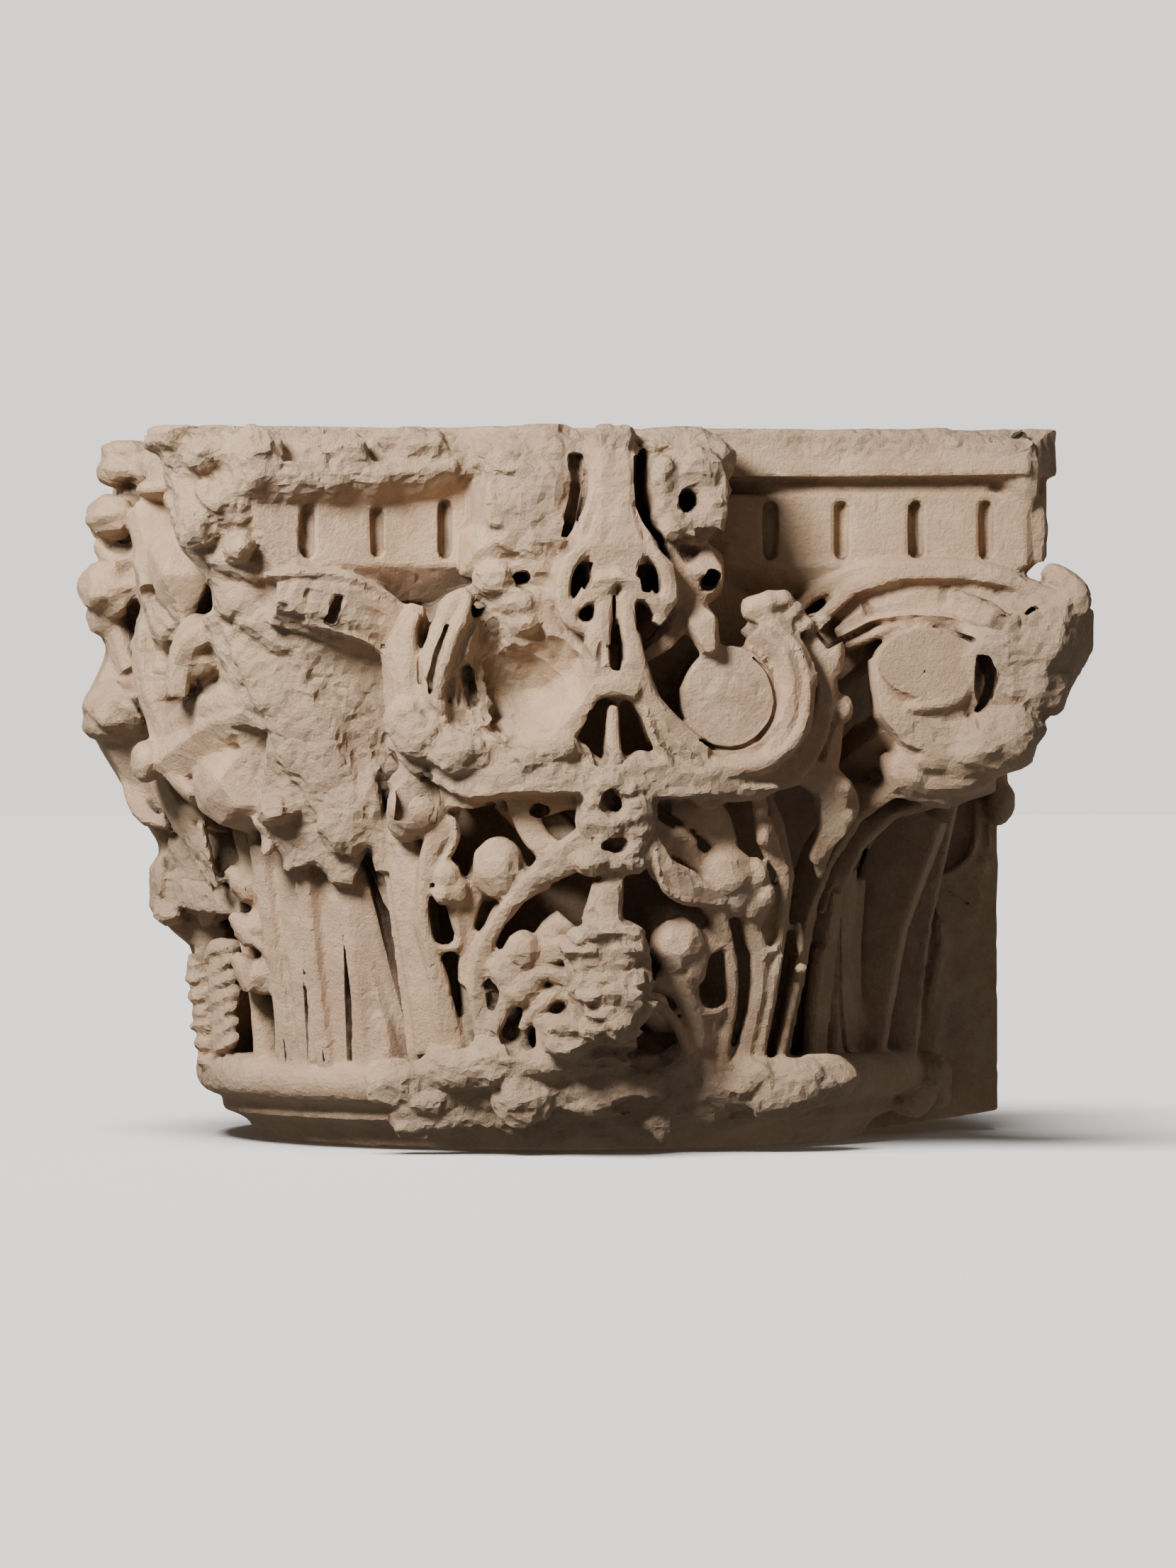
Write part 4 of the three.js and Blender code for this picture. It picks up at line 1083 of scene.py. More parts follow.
@dataclass
class LeftStump(Carved):
    """The broken horn at the left, the stump under it and what is left of its channel."""

    broken_horn: Strokes = (
        Lump((-392, 652, 306), (26, 18, 54), rough=0.25),
        Band([(-388, 651, 316), (-378, 617, 338), (-368, 584, 352), (-358, 555, 354)],
            [24, 26, 24, 18], 80, Section.FLAT, hub=(-330, 600, 200), wave=0.18),
        Band([(-358, 636, 352), (-347, 603, 366), (-340, 571, 370), (-336, 549, 364)],
            [22, 24, 20, 12], 70, Section.FLAT, wave=0.18),
        Lump((-358, 636, 350), (30, 22, 30), rough=0.3),
        Lump((-347, 594, 362), (26, 26, 26), rough=0.3),
        Lump((-374, 568, 350), (20, 20, 26), rough=0.3),
        Band([(-397, 605, 310), (-381, 572, 336), (-358, 545, 352), (-329, 533, 358), (-304, 523, 362)],
            [8, 10, 10, 9, 6], 60, Section.FLAT, wave=0.35),
        Band([(-346, 540, 340), (-324, 511, 346), (-299, 482, 348), (-274, 466, 346)],
            [26, 30, 26, 16], 60, Section.FLAT, wave=0.25),
    )
    broken_slab: Strokes = (
        Band([
            (-344, 628, 380), (-295, 627, 368), (-249, 630, 358), (-203, 633, 350), (-158, 636, 344),
            (-105, 639, 340),
        ], [26, 26, 24, 22, 20, 18], 60, Section.FLAT, front=BROKEN_SLOPE, wave=0.2),
        Band([(-329, 620, 394), (-283, 622, 384), (-231, 624, 375), (-179, 626, 366), (-133, 629, 358)],
            [13, 13, 13, 13, 8], 50, Section.FLAT, front=BROKEN_SLOPE, wave=0.25),
        Lump((-336, 549, 366), (14, 14, 26), rough=0.2),
        Band([
            (-340, 613, 380), (-295, 613, 370), (-249, 615, 361), (-204, 617, 353), (-158, 619, 347),
            (-125, 622, 343),
        ], [14, 14, 14, 14, 12, 8], 60, Section.FLAT, front=BROKEN_SLOPE, wave=0.25),
        Band([(-329, 651, 346), (-273, 653, 338), (-215, 655, 330), (-156, 656, 326), (-97, 658, 324)],
            [22, 22, 20, 20, 18], 50, Section.FLAT, front=BROKEN_SLOPE, wave=0.3),
        Lump((-321, 635, 372), (26, 24, 26), rough=0.3, grain=3),
        Lump((-249, 636, 356), (36, 22, 24), rough=0.3, grain=3),
        Lump((-171, 644, 344), (40, 18, 22), rough=0.3, grain=3),
        Band([(-190, 609, 346), (-151, 612, 342), (-105, 615, 340)], [4, 5, 4], 20, wave=0.3),
    )
    stump: Strokes = (
        Band([
            (-363, 534, 330), (-328, 511, 342), (-293, 482, 346), (-261, 444, 342), (-231, 402, 332),
            (-204, 351, 324),
        ], [12, 13, 12, 10, 9, 8], 44, Section.RIDGE, wave=0.3),
        Band([
            (-330, 509, 318), (-301, 451, 322), (-275, 386, 318), (-255, 328, 312), (-245, 283, 308),
            (-237, 244, 304),
        ], [40, 46, 50, 46, 34, 12], 60, Section.FLAT, hub=(-200, 300, 60), wave=0.15),
        Band([(-342, 496, 306), (-323, 438, 306), (-300, 373, 304), (-280, 309, 302), (-272, 260, 298)],
            [20, 24, 28, 28, 12], 50, wave=0.25),
        Band([(-324, 489, 330), (-293, 431, 336), (-267, 373, 334), (-240, 322, 326)],
            [26, 34, 34, 26], 40, Section.FLAT, hub=(-200, 300, 60), wave=0.12),
        Lump((-233, 309, 316), (30, 40, 18), rough=0.2, grain=3),
        Band([(-355, 541, 312), (-336, 489, 316), (-323, 438, 310), (-315, 393, 304), (-293, 354, 300)],
            [8, 9, 9, 9, 8], 50),
        Band([(-215, 347, 330), (-208, 302, 330), (-198, 257, 326)], [10, 12, 8], 30, wave=0.3),
    )
    channel: Strokes = (
        Band([(-315, 524, 392), (-278, 527, 394), (-238, 524, 384), (-202, 509, 372), (-175, 487, 358)],
            [4, 5, 5, 4, 3], 40),
        Band([(-289, 507, 390), (-258, 502, 386), (-225, 493, 376), (-198, 477, 364), (-186, 450, 354)],
            [17, 20, 21, 18, 11], 24, Section.FLAT),
        Band([(-278, 508, 398), (-249, 503, 396), (-223, 495, 388), (-201, 483, 376)],
            [7, 10, 10, 7], 12, cut=True),
        Band([(-277, 482, 386), (-245, 474, 380), (-211, 461, 368), (-194, 437, 356)],
            [4, 4, 4, 3], 18, Section.RIDGE),
        Band([(-245, 508, 404), (-249, 496, 404), (-254, 483, 404)],
            [4.5, 5, 4.5], 34, Section.FLAT, cut=True),
        Band([(-255, 466, 352), (-222, 437, 342), (-199, 405, 334)], [20, 22, 18], 20, Section.HOLLOW),
    )


@dataclass
class BrokenFoot(Carved):
    """The broken stone over the ring."""

    broken_stone: Strokes = (
        *(
            Lump((x, z, 346), (30, 22 + 6 * math.sin(i * 1.3), 18), rough=0.4)
            for i, (x, z) in enumerate([
                (-190, 65), (-167, 58), (-144, 72), (-120, 65), (-97, 58), (-73, 71), (-50, 64), (-27, 58),
                (-3, 71), (20, 64), (44, 57), (67, 71), (91, 63), (114, 57), (138, 70),
            ])
        ),
        *lump_row(11, (-169.73, 37.47, 334), (26.04, -0.18, 0), (30, 18, 18), (-8.22, 1.7, 1), rough=0.4),
        Lump((176, 62, 340), (44, 26, 26), rough=0.2, grain=4),
        Lump((156, 52, 340), (36, 24, 26), rough=0.3, grain=4),
        Lump((204, 67, 326), (34, 24, 26), rough=0.15, grain=3),
        Lump((-44, 84, 372), (70, 16, 30), rough=0.3, grain=4),
        Lump((-102, 84, 366), (30, 24, 26), rough=0.35, grain=4),
        Lump((-139, 77, 356), (34, 20, 22), rough=0.3, grain=4),
        Lump((-76, 55, 370), (30, 30, 22), rough=0.3, grain=4),
        Lump((-5, 58, 368), (60, 24, 20), rough=0.3, grain=4),
        Lump((46, 37, 352), (20, 24, 16), rough=0.3, grain=4),
    )
    hollows: Strokes = (
        Lump((29, 42, 384), (30, 14, 22), rough=0.3, grain=3, cut=True),
        Lump((81, 55, 384), (34, 18, 22), rough=0.3, grain=3, cut=True),
        Lump((91, 29, 384), (34, 12, 22), rough=0.3, grain=3, cut=True),
        Lump((-155, 46, 384), (14, 8, 22), rough=0.3, grain=3, cut=True),
        Lump((-142, 27, 384), (16, 6, 22), rough=0.3, grain=3, cut=True),
        Lump((-52, 27, 384), (24, 8, 22), rough=0.3, grain=3, cut=True),
        Lump((13, 20, 384), (40, 6, 22), rough=0.3, grain=3, cut=True),
    )


@dataclass
class WallSide(Carved):
    """The bell at the right, and the worn relief where it joins the wall."""

    bell: Strokes = (
        Band([(246, 255, 232), (246, 195, 214), (248, 141, 199), (255, 75, 180)],
            [30, 40, 46, 50], 40, radial=True),
        Band([(215, 216, 279), (229, 252, 273), (250, 288, 267), (278, 318, 259), (312, 326, 237)],
            [3, 4, 5, 6, 6], 30, radial=True),
        Band([(249, 248, 234), (266, 281, 227), (290, 308, 217), (327, 313, 173)],
            [3, 4, 4, 4], 20, Section.RIDGE, radial=True),
        Band([(219, 183, 252), (215, 143, 248), (211, 79, 243)], [4, 6, 7], 18, radial=True),
        Band([(237, 234, 244), (240, 182, 226), (238, 77, 214)],
            [3, 3, 4], 16, Section.RIDGE, radial=True),
        Band([(242, 235, 242), (245, 182, 224), (249, 128, 209), (257, 74, 191)],
            [2, 3, 4, 4], 14, radial=True, cut=True),
        Band([(267, 248, 194), (266, 180, 178), (269, 126, 166), (279, 74, 140)],
            [6, 7, 7, 7], 18, radial=True),
        Band([(273, 274, 185), (281, 294, 184)], [3, 5], 14, radial=True),
    )
    wall_folds: Strokes = (
        Band([(300, 301, 160), (301, 247, 130), (301, 185, 110), (305, 124, 100), (317, 71, 90)],
            [14, 18, 18, 18, 18], 60),
        Band([(344, 314, 60), (334, 273, 56), (326, 225, 52), (329, 177, 48)], [8, 12, 12, 8], 40),
        Band([(361, 307, 34), (354, 279, 34), (348, 245, 36)], [3, 4, 5], 26, Section.RIDGE),
        Band([(299, 232, 122), (299, 206, 118), (296, 182, 112)], [2, 4, 1.5], 16, cut=True),
        Band([
            (329, 238, 44), (355, 243, 38), (380, 252, 34), (396, 264, 32), (404, 286, 30),
            (405, 327, 28),
        ], [6, 5, 5, 5, 5, 6], 30),
        Band([(397, 255, 30), (409, 257, 30), (416, 262, 28)], [8, 9, 7], 22),
        Band([(417, 320, 26), (418, 272, 26)], [2, 2], 14, Section.RIDGE),
    )
    wall_boss: Strokes = (
        Drum((384, 226, 30), 25, 25, 24, flare=0.9),
        Band([(375, 234, 34), (384, 227, 36), (397, 220, 34)], [1.5, 2, 1.5], 8, cut=True),
    )
    seam: Strokes = (
        Band([(364, 221, 20), (366, 176, 20), (362, 135, 22), (349, 73, 30)],
            [16, 18, 18, 18], 50, Section.FLAT, wave=0.2),
        Band([(365, 217, 26), (371, 183, 28), (361, 145, 28), (357, 114, 28), (344, 75, 30)],
            [6, 8, 7, 7, 6], 20, wave=0.7),
        Band([(334, 211, 56), (339, 177, 56), (334, 136, 60), (329, 70, 64)],
            [14, 16, 14, 12], 50, wave=0.2),
        Lump((349, 57, 50), (26, 22, 40), rough=0.2, grain=3),
        Lump((332, 37, 70), (22, 20, 50), rough=0.2, grain=3),
        Lump((365, 36, 40), (12, 14, 20), rough=0.2, grain=3),
    )
    wall_lump: Strokes = (
        Lump((425, 320, 30), (16, 24, 30), rough=0.12),
        Lump((420, 345, 30), (14, 20, 26), rough=0.12),
    )
    chipped_foot: Strokes = (
        Lump((268, 2, 220), (22, 10, 40), rough=0.2, cut=True),
        Lump((293, 7, 200), (14, 8, 30), rough=0.2, cut=True),
    )


@dataclass
class BrokenSlab(Carved):
    """The broken upper edge of the slab at the right."""

    broken_edge: Strokes = (
        *lump_row(
            12, (160.08, 661.48, 418), (18.77, 0.04, 0.5), (24, 22, 24), (-4.71, 1.9, 0), (6, 1.1),
            rough=0.35, grain=3, cut=True,
        ),
        Lump((125, 662, 424), (34, 16, 22), rough=0.2, cut=True),
        Band([(374, 661, 404), (389, 637, 410), (391, 606, 402), (387, 587, 392)],
            [16, 24, 20, 8], 90, hub=(330, 640, 330), wave=0.12),
        Band([(389, 600, 388), (393, 571, 388), (391, 540, 386)], [11, 12, 11], 60, Section.FLAT),
        Band([(394, 639, 380), (396, 607, 380), (398, 574, 376), (400, 542, 372)],
            [11, 9, 7, 7], 44, Section.FLAT),
        Band([
            (138, 609, 329), (163, 609, 335), (227, 609, 345), (291, 609, 357), (354, 609, 372),
            (384, 608, 380),
        ], [5, 5, 5, 5, 5, 5], 24, Section.FLAT),
    )


@dataclass
class Carving:
    """Every part of the carving, in the order in which it is laid on."""

    parts: list = field(default_factory=lambda: [
        Body(), RightVolute(), RightScroll(), Fleuron(), HangingKnot(), LeftScroll(), LeafEdge(),
        RightStraps(), LeftSide(), LeftStump(), BrokenFoot(), WallSide(), BrokenSlab(),
    ])

    def build(self) -> tuple[bpy.types.Object, bpy.types.Object | None]:
        """Builds all of it.

        Returns:
            The object to join to the stone, and the one to cut from it.
        """
        clay = Clay()
        cuts = Clay()
        for part in self.parts:
            part.carve(clay, cuts)
            points = len(clay.bm.verts), len(cuts.bm.verts)
            LOG.info("carved %s: %d and %d points so far", type(part).__name__, *points)
        cut = cuts.to_object("cuts") if cuts.bm.verts else None
        return clay.to_object("clay"), cut


# ---------------------------------------------------------------- the stone's surface


LATTICE = np.array([127.1, 311.7, 74.7])  # turns a cell's corner into one number
SCRAMBLE = 43758.5453  # so large that neighbouring numbers end in unlike digits
SEED_STEP = 17.3  # cells from one pattern to the next


def grain_at(places: np.ndarray, size: float, seed: float) -> np.ndarray:
    """A smooth unevenness in space.

    Args:
        places: points in metres, one a row.
        size: the distance between its swellings, in millimetres.
        seed: a number that moves the pattern.

    Returns:
        A value from -1 to 1 for each place.
    """
    cells = places / (size * MM) + seed * SEED_STEP
    corner = np.floor(cells)
    share = cells - corner
    share = share * share * (3 - 2 * share)
    total = np.zeros(len(places))
    for bits in range(8):
        step = np.array([bits & 1, bits >> 1 & 1, bits >> 2 & 1])
        sway = np.sin((corner + step) @ LATTICE) * SCRAMBLE
        weight = np.prod(np.where(step == 1, share, 1 - share), axis=1)
        total += weight * (sway - np.floor(sway))
    return 2 * total - 1


def layered_grain(places: np.ndarray, size: float, layers: int, seed: float) -> np.ndarray:
    """Layers of unevenness, each half as wide and half as strong as the one before.

    Args:
        places: points in metres, one a row.
        size: the distance between the swellings of the first layer, in millimetres.
        layers: how many there are.
        seed: a number that moves the pattern.

    Returns:
        A value of about -1 to 1 for each place.
    """
    total = np.zeros(len(places))
    for layer in range(layers):
        total += grain_at(places, size / 2**layer, seed + layer) / 2**layer
    return total / 1.5


@dataclass
class Zone:
    """A rounded region in which the stone is broken or worn rough."""

    spot: Spot
    radii: Spot
    strength: float = 1.0

    EDGE = 1.2  # where it ends, for its radii
    FADE = 0.4  # the part of its radii over which it fades

    def weights(self, places: np.ndarray) -> np.ndarray:
        """How far each place lies in the zone.

        Args:
            places: points in metres, one a row.

        Returns:
            A weight from 0 to the zone's strength for each.
        """
        x, z, out = self.spot
        rx, rz, rout = self.radii
        middle = np.array([x, -out, z]) * MM
        reach = np.array([rx, rout, rz]) * MM
        distance = np.linalg.norm((places - middle) / reach, axis=1)
        return self.strength * np.clip((self.EDGE - distance) / self.FADE, 0, 1)


# Where the stone is broken or worn rough: (x, z, out), the reach each way, and how much.
BROKEN = [
    Zone((-206, 642, 380), (150, 36, 70)),
    Zone((-295, 635, 370), (90, 52, 80)),
    Zone((-371, 604, 350), (56, 80, 90)),
    Zone((-85, 635, 390), (80, 40, 60)),
    Zone((-1, 652, 420), (60, 16, 60)),
    Zone((62, 649, 400), (60, 26, 60)),
    Zone((127, 655, 400), (60, 15, 60), 0.7),
    Zone((218, 649, 400), (90, 15, 60)),
    Zone((295, 654, 410), (90, 15, 60)),
    Zone((365, 649, 420), (60, 15, 70), 0.9),
    Zone((-75, 583, 420), (44, 52, 50), 0.8),
    Zone((68, 596, 430), (34, 42, 50), 0.9),
    Zone((60, 635, 420), (40, 26, 50), 0.8),
    Zone((-1, 595, 440), (16, 70, 30), 0.5),
    Zone((-86, 510, 400), (50, 30, 40), 0.7),
    Zone((-324, 515, 330), (70, 60, 80), 0.8),
    Zone((-273, 450, 330), (80, 80, 80), 0.9),
    Zone((-259, 367, 320), (80, 90, 80)),
    Zone((-239, 302, 310), (70, 70, 70), 0.9),
    Zone((-265, 516, 390), (60, 20, 40), 0.6),
    Zone((106, 415, 410), (48, 50, 40), 0.35),
    Zone((-112, 430, 400), (50, 60, 60), 0.9),
    Zone((-162, 373, 390), (60, 40, 50)),
    Zone((-169, 449, 400), (30, 60, 40), 0.35),
    Zone((173, 489, 400), (40, 24, 40), 0.6),
    Zone((-157, 350, 400), (50, 30, 50)),
    Zone((-107, 354, 420), (50, 26, 50)),
    Zone((-57, 354, 430), (50, 28, 50)),
    Zone((-3, 347, 440), (40, 20, 40)),
    Zone((45, 347, 435), (50, 26, 40), 0.9),
    Zone((111, 334, 420), (60, 12, 40), 0.6),
    Zone((-2, 303, 430), (46, 56, 40)),
    Zone((-56, 261, 420), (50, 24, 40), 0.8),
    Zone((-11, 156, 420), (50, 76, 50)),
    Zone((-42, 111, 410), (46, 30, 40)),
    Zone((-102, 122, 370), (30, 50, 40), 0.8),
    Zone((-81, 168, 384), (30, 30, 30), 0.6),
    Zone((-139, 64, 350), (70, 34, 50)),
    Zone((-63, 71, 370), (80, 40, 60)),
    Zone((15, 64, 370), (80, 40, 60)),
    Zone((95, 50, 350), (80, 34, 60), 0.9),
    Zone((169, 55, 340), (60, 30, 50)),
    Zone((-138, 25, 340), (60, 20, 50)),
    Zone((-60, 18, 340), (80, 20, 50)),
    Zone((31, 17, 340), (80, 16, 50), 0.9),
    Zone((131, 16, 330), (60, 16, 50), 0.9),
    Zone((-215, 64, 340), (50, 24, 50), 0.6),
    Zone((380, 457, 410), (50, 60, 60), 0.9),
    Zone((356, 392, 400), (60, 30, 60), 0.8),
    Zone((360, 515, 410), (60, 14, 50), 0.6),
    Zone((297, 386, 400), (40, 20, 40), 0.6),
    Zone((399, 489, 410), (40, 50, 50), 0.7),
    Zone((-422, 642, 90), (60, 30, 120), 0.5),
    Zone((-431, 408, 60), (50, 40, 120), 0.5),
    Zone((-385, 474, 140), (50, 60, 120), 0.6),
    Zone((-364, 419, 240), (60, 40, 120), 0.5),
    Zone((-375, 247, 90), (70, 50, 120), 0.8),
    Zone((-347, 126, 70), (50, 90, 120), 0.5),
    Zone((352, 151, 90), (26, 110, 80), 0.6),
]


@dataclass
class Surface:
    """Turns the block and its carving into one weathered skin.

    Attributes:
        voxel: the step of the skin, in metres.
        fine: the step of the cuts, for the skin's.
        triangles: the most that the skin keeps.
        back: the flat back behind the axis, in millimetres, as height is.
        rays: how many ways are tried out of each corner to find the hollows.
        hollow_reach: how far each goes, in metres.
        side_from: where the plain sides start, with the four after it, in millimetres.
        side_wear: how often the plain sides are smoothed.
        wear: how often all of it is smoothed.
        rough_zones: where it is broken or worn rough.
    """

    voxel: float = 0.0030
    fine: float = 0.8
    triangles: int = 190_000
    back: float = 200
    height: float = 662
    rays: int = 22
    hollow_reach: float = 0.09
    side_from: float = 285
    side_front: float = 20
    side_foot: float = 88
    side_top: float = 600
    wall_front: float = 40
    side_wear: int = 90
    wear: int = 3
    rough_zones: list[Zone] = field(default_factory=lambda: BROKEN)

    PIT_EDGE = 0.45  # how strong the unevenness is where a pit starts
    CLEAR = 0.001  # metres between the skin and the start of a ray
    FACING = 0.15  # the least that a ray faces away from the skin
    FAR_LIGHT = 0.6  # how much less a far wall darkens than a near one

    def join(
        self, block: bpy.types.Object, clay: bpy.types.Object, cut: bpy.types.Object | None
    ) -> bpy.types.Object:
        """Joins the clay to the block in one closed skin and cuts the holes.

        Args:
            block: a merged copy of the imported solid.
            clay: the shapes to join to it.
            cut: the shapes to take away, if there are any.

        Returns:
            The stone.
        """
        bm = bmesh.new()
        bm.from_mesh(block.data)
        bm.from_mesh(clay.data)
        bm.to_mesh(block.data)
        bm.free()
        bpy.data.objects.remove(clay)
        self._remesh(block, self.voxel)
        if cut:
            self._remesh(cut, self.voxel * self.fine)
            modifier = block.modifiers.new("cut", "BOOLEAN")
            modifier.operation = "DIFFERENCE"
            modifier.solver = "MANIFOLD"
            modifier.object = cut
            self._apply(block)
            bpy.data.objects.remove(cut)
        return block

    def _remesh(self, piece: bpy.types.Object, size: float) -> None:
        """Gives a heap of closed shapes one even skin."""
        modifier = piece.modifiers.new("skin", "REMESH")
        modifier.mode = "VOXEL"
        modifier.voxel_size = size
        self._apply(piece)

    @staticmethod
    def _apply(piece: bpy.types.Object) -> None:
        """Puts what the modifiers make in the mesh, and takes them away."""
        graph = bpy.context.evaluated_depsgraph_get()
        mesh = bpy.data.meshes.new_from_object(piece.evaluated_get(graph), depsgraph=graph)
        piece.modifiers.clear()
        old = piece.data
        piece.data = mesh
        bpy.data.meshes.remove(old)

    def roughness(self, places: np.ndarray) -> np.ndarray:
        """How rough the stone is at each place, from 0 to 1."""
        rough = np.zeros(len(places))
        for zone in self.rough_zones:
            rough = np.maximum(rough, zone.weights(places))
        return rough

    def weather(self, stone: bpy.types.Object) -> None:
        """Moves the skin in and out: a little where it is carved, more where it is broken."""
        places = self._places(stone)
        normals = np.empty(len(places) * 3)
        stone.data.vertices.foreach_get("normal", normals)
        normals = normals.reshape(-1, 3)
        rough = self.roughness(places)
        soft = layered_grain(places, 55, 2, 1)
        chips = layered_grain(places, 24, 3, 2)
        crumbs = layered_grain(places, 9, 2, 3)
        pits = np.clip(grain_at(places, 7, 4) - self.PIT_EDGE, 0, 1)
        carved = 1.2 * soft + 0.5 * crumbs - 1.5 * pits
        broken = 5.0 * chips - 3.0 * np.abs(crumbs) - 4.0 * pits
        move = carved * (1 - rough) + broken * rough
        places += normals * (move * MM)[:, None]
        stone.data.vertices.foreach_set("co", places.ravel())
        stone.data.update()

    def mark(self, stone: bpy.types.Object) -> None:
        """Writes how rough and how deep in a hollow each corner lies, for the finish to read; the finish
        paints shade into the hollows by the second mark.
        """
        mesh = stone.data
        rough = self.roughness(self._places(stone))
        layer = mesh.attributes.new("rough", "FLOAT", "POINT")
        layer.data.foreach_set("value", rough)
        tree = BVHTree.FromPolygons(
            [vert.co for vert in mesh.vertices], [tuple(face.vertices) for face in mesh.polygons]
        )
        rays = []
        golden = math.pi * (3 - math.sqrt(5))
        for i in range(self.rays):
            height = 1 - (2 * i + 1) / self.rays
            ring = math.sqrt(1 - height * height)
            rays.append(Vector((ring * math.cos(golden * i), ring * math.sin(golden * i), height)))
        hollow = np.zeros(len(mesh.vertices))
        for i, vert in enumerate(mesh.vertices):
            normal = vert.normal
            start = vert.co + normal * self.CLEAR
            tried = 0
            struck = 0.0
            for ray in rays:
                facing = ray.dot(normal)
                if facing < self.FACING:
                    continue
                tried += 1
                hit = tree.ray_cast(start, ray, self.hollow_reach)
                if hit[0] is not None:
                    struck += 1 - self.FAR_LIGHT * hit[3] / self.hollow_reach
            hollow[i] = struck / max(tried, 1)
        layer = mesh.attributes.new("hollow", "FLOAT", "POINT")
        layer.data.foreach_set("value", hollow)

    def trim(self, stone: bpy.types.Object) -> None:
        """Cuts the bed, the top and the back flat."""
        bm = bmesh.new()
        made = bmesh.ops.create_cube(bm, size=2)
        low = Vector((-1, -1, 0))
        high = Vector((1, self.back * MM, self.height * MM))
        bmesh.ops.scale(bm, verts=made["verts"], vec=(high - low) / 2)
        bmesh.ops.translate(bm, verts=made["verts"], vec=(high + low) / 2)
        mesh = bpy.data.meshes.new("bounds")
        bm.to_mesh(mesh)
        bm.free()
        bounds = bpy.data.objects.new("bounds", mesh)
        bpy.context.scene.collection.objects.link(bounds)
        modifier = stone.modifiers.new("trim", "BOOLEAN")
        modifier.operation = "INTERSECT"
        modifier.solver = "MANIFOLD"
        modifier.object = bounds
        self._apply(stone)
        bpy.data.objects.remove(bounds)

    def soften(self, stone: bpy.types.Object, times: int, group: str = "") -> None:
        """Wears the stone's arrises, everywhere or where a group of its corners says."""
        modifier = stone.modifiers.new("wear", "SMOOTH")
        modifier.factor = 0.5
        modifier.iterations = times
        modifier.vertex_group = group
        self._apply(stone)

    def round_sides(self, stone: bpy.types.Object) -> None:
        """Wears the plain carving of the sides round, between the ring and the fascia."""
        places = self._places(stone)
        side = np.abs(places[:, 0]) > self.side_from * MM
        back = places[:, 1] > -self.side_front * MM
        tall = (places[:, 2] > self.side_foot * MM) & (places[:, 2] < self.side_top * MM)
        wall = (places[:, 0] > 0) & (places[:, 1] > -self.wall_front * MM)
        chosen = np.flatnonzero(side & back & tall & ~wall)
        group = stone.vertex_groups.new(name="sides")
        group.add(chosen.tolist(), 1.0, "REPLACE")
        self.soften(stone, self.side_wear, "sides")
        stone.vertex_groups.clear()

    @staticmethod
    def _places(stone: bpy.types.Object) -> np.ndarray:
        """The places of the mesh's corners, in metres."""
        places = np.empty(len(stone.data.vertices) * 3)
        stone.data.vertices.foreach_get("co", places)
        return places.reshape(-1, 3)

    def thin(self, stone: bpy.types.Object) -> None:
        """Brings the skin under its number of triangles, the flat parts first."""
        stone.data.calc_loop_triangles()
        count = len(stone.data.loop_triangles)
        if count > self.triangles:
            modifier = stone.modifiers.new("thin", "DECIMATE")
            modifier.ratio = self.triangles / count
            modifier.use_collapse_triangulate = True
            self._apply(stone)
        stone.data.calc_loop_triangles()
        LOG.info("the stone has %d triangles, from %d", len(stone.data.loop_triangles), count)


# ---------------------------------------------------------------- the finish


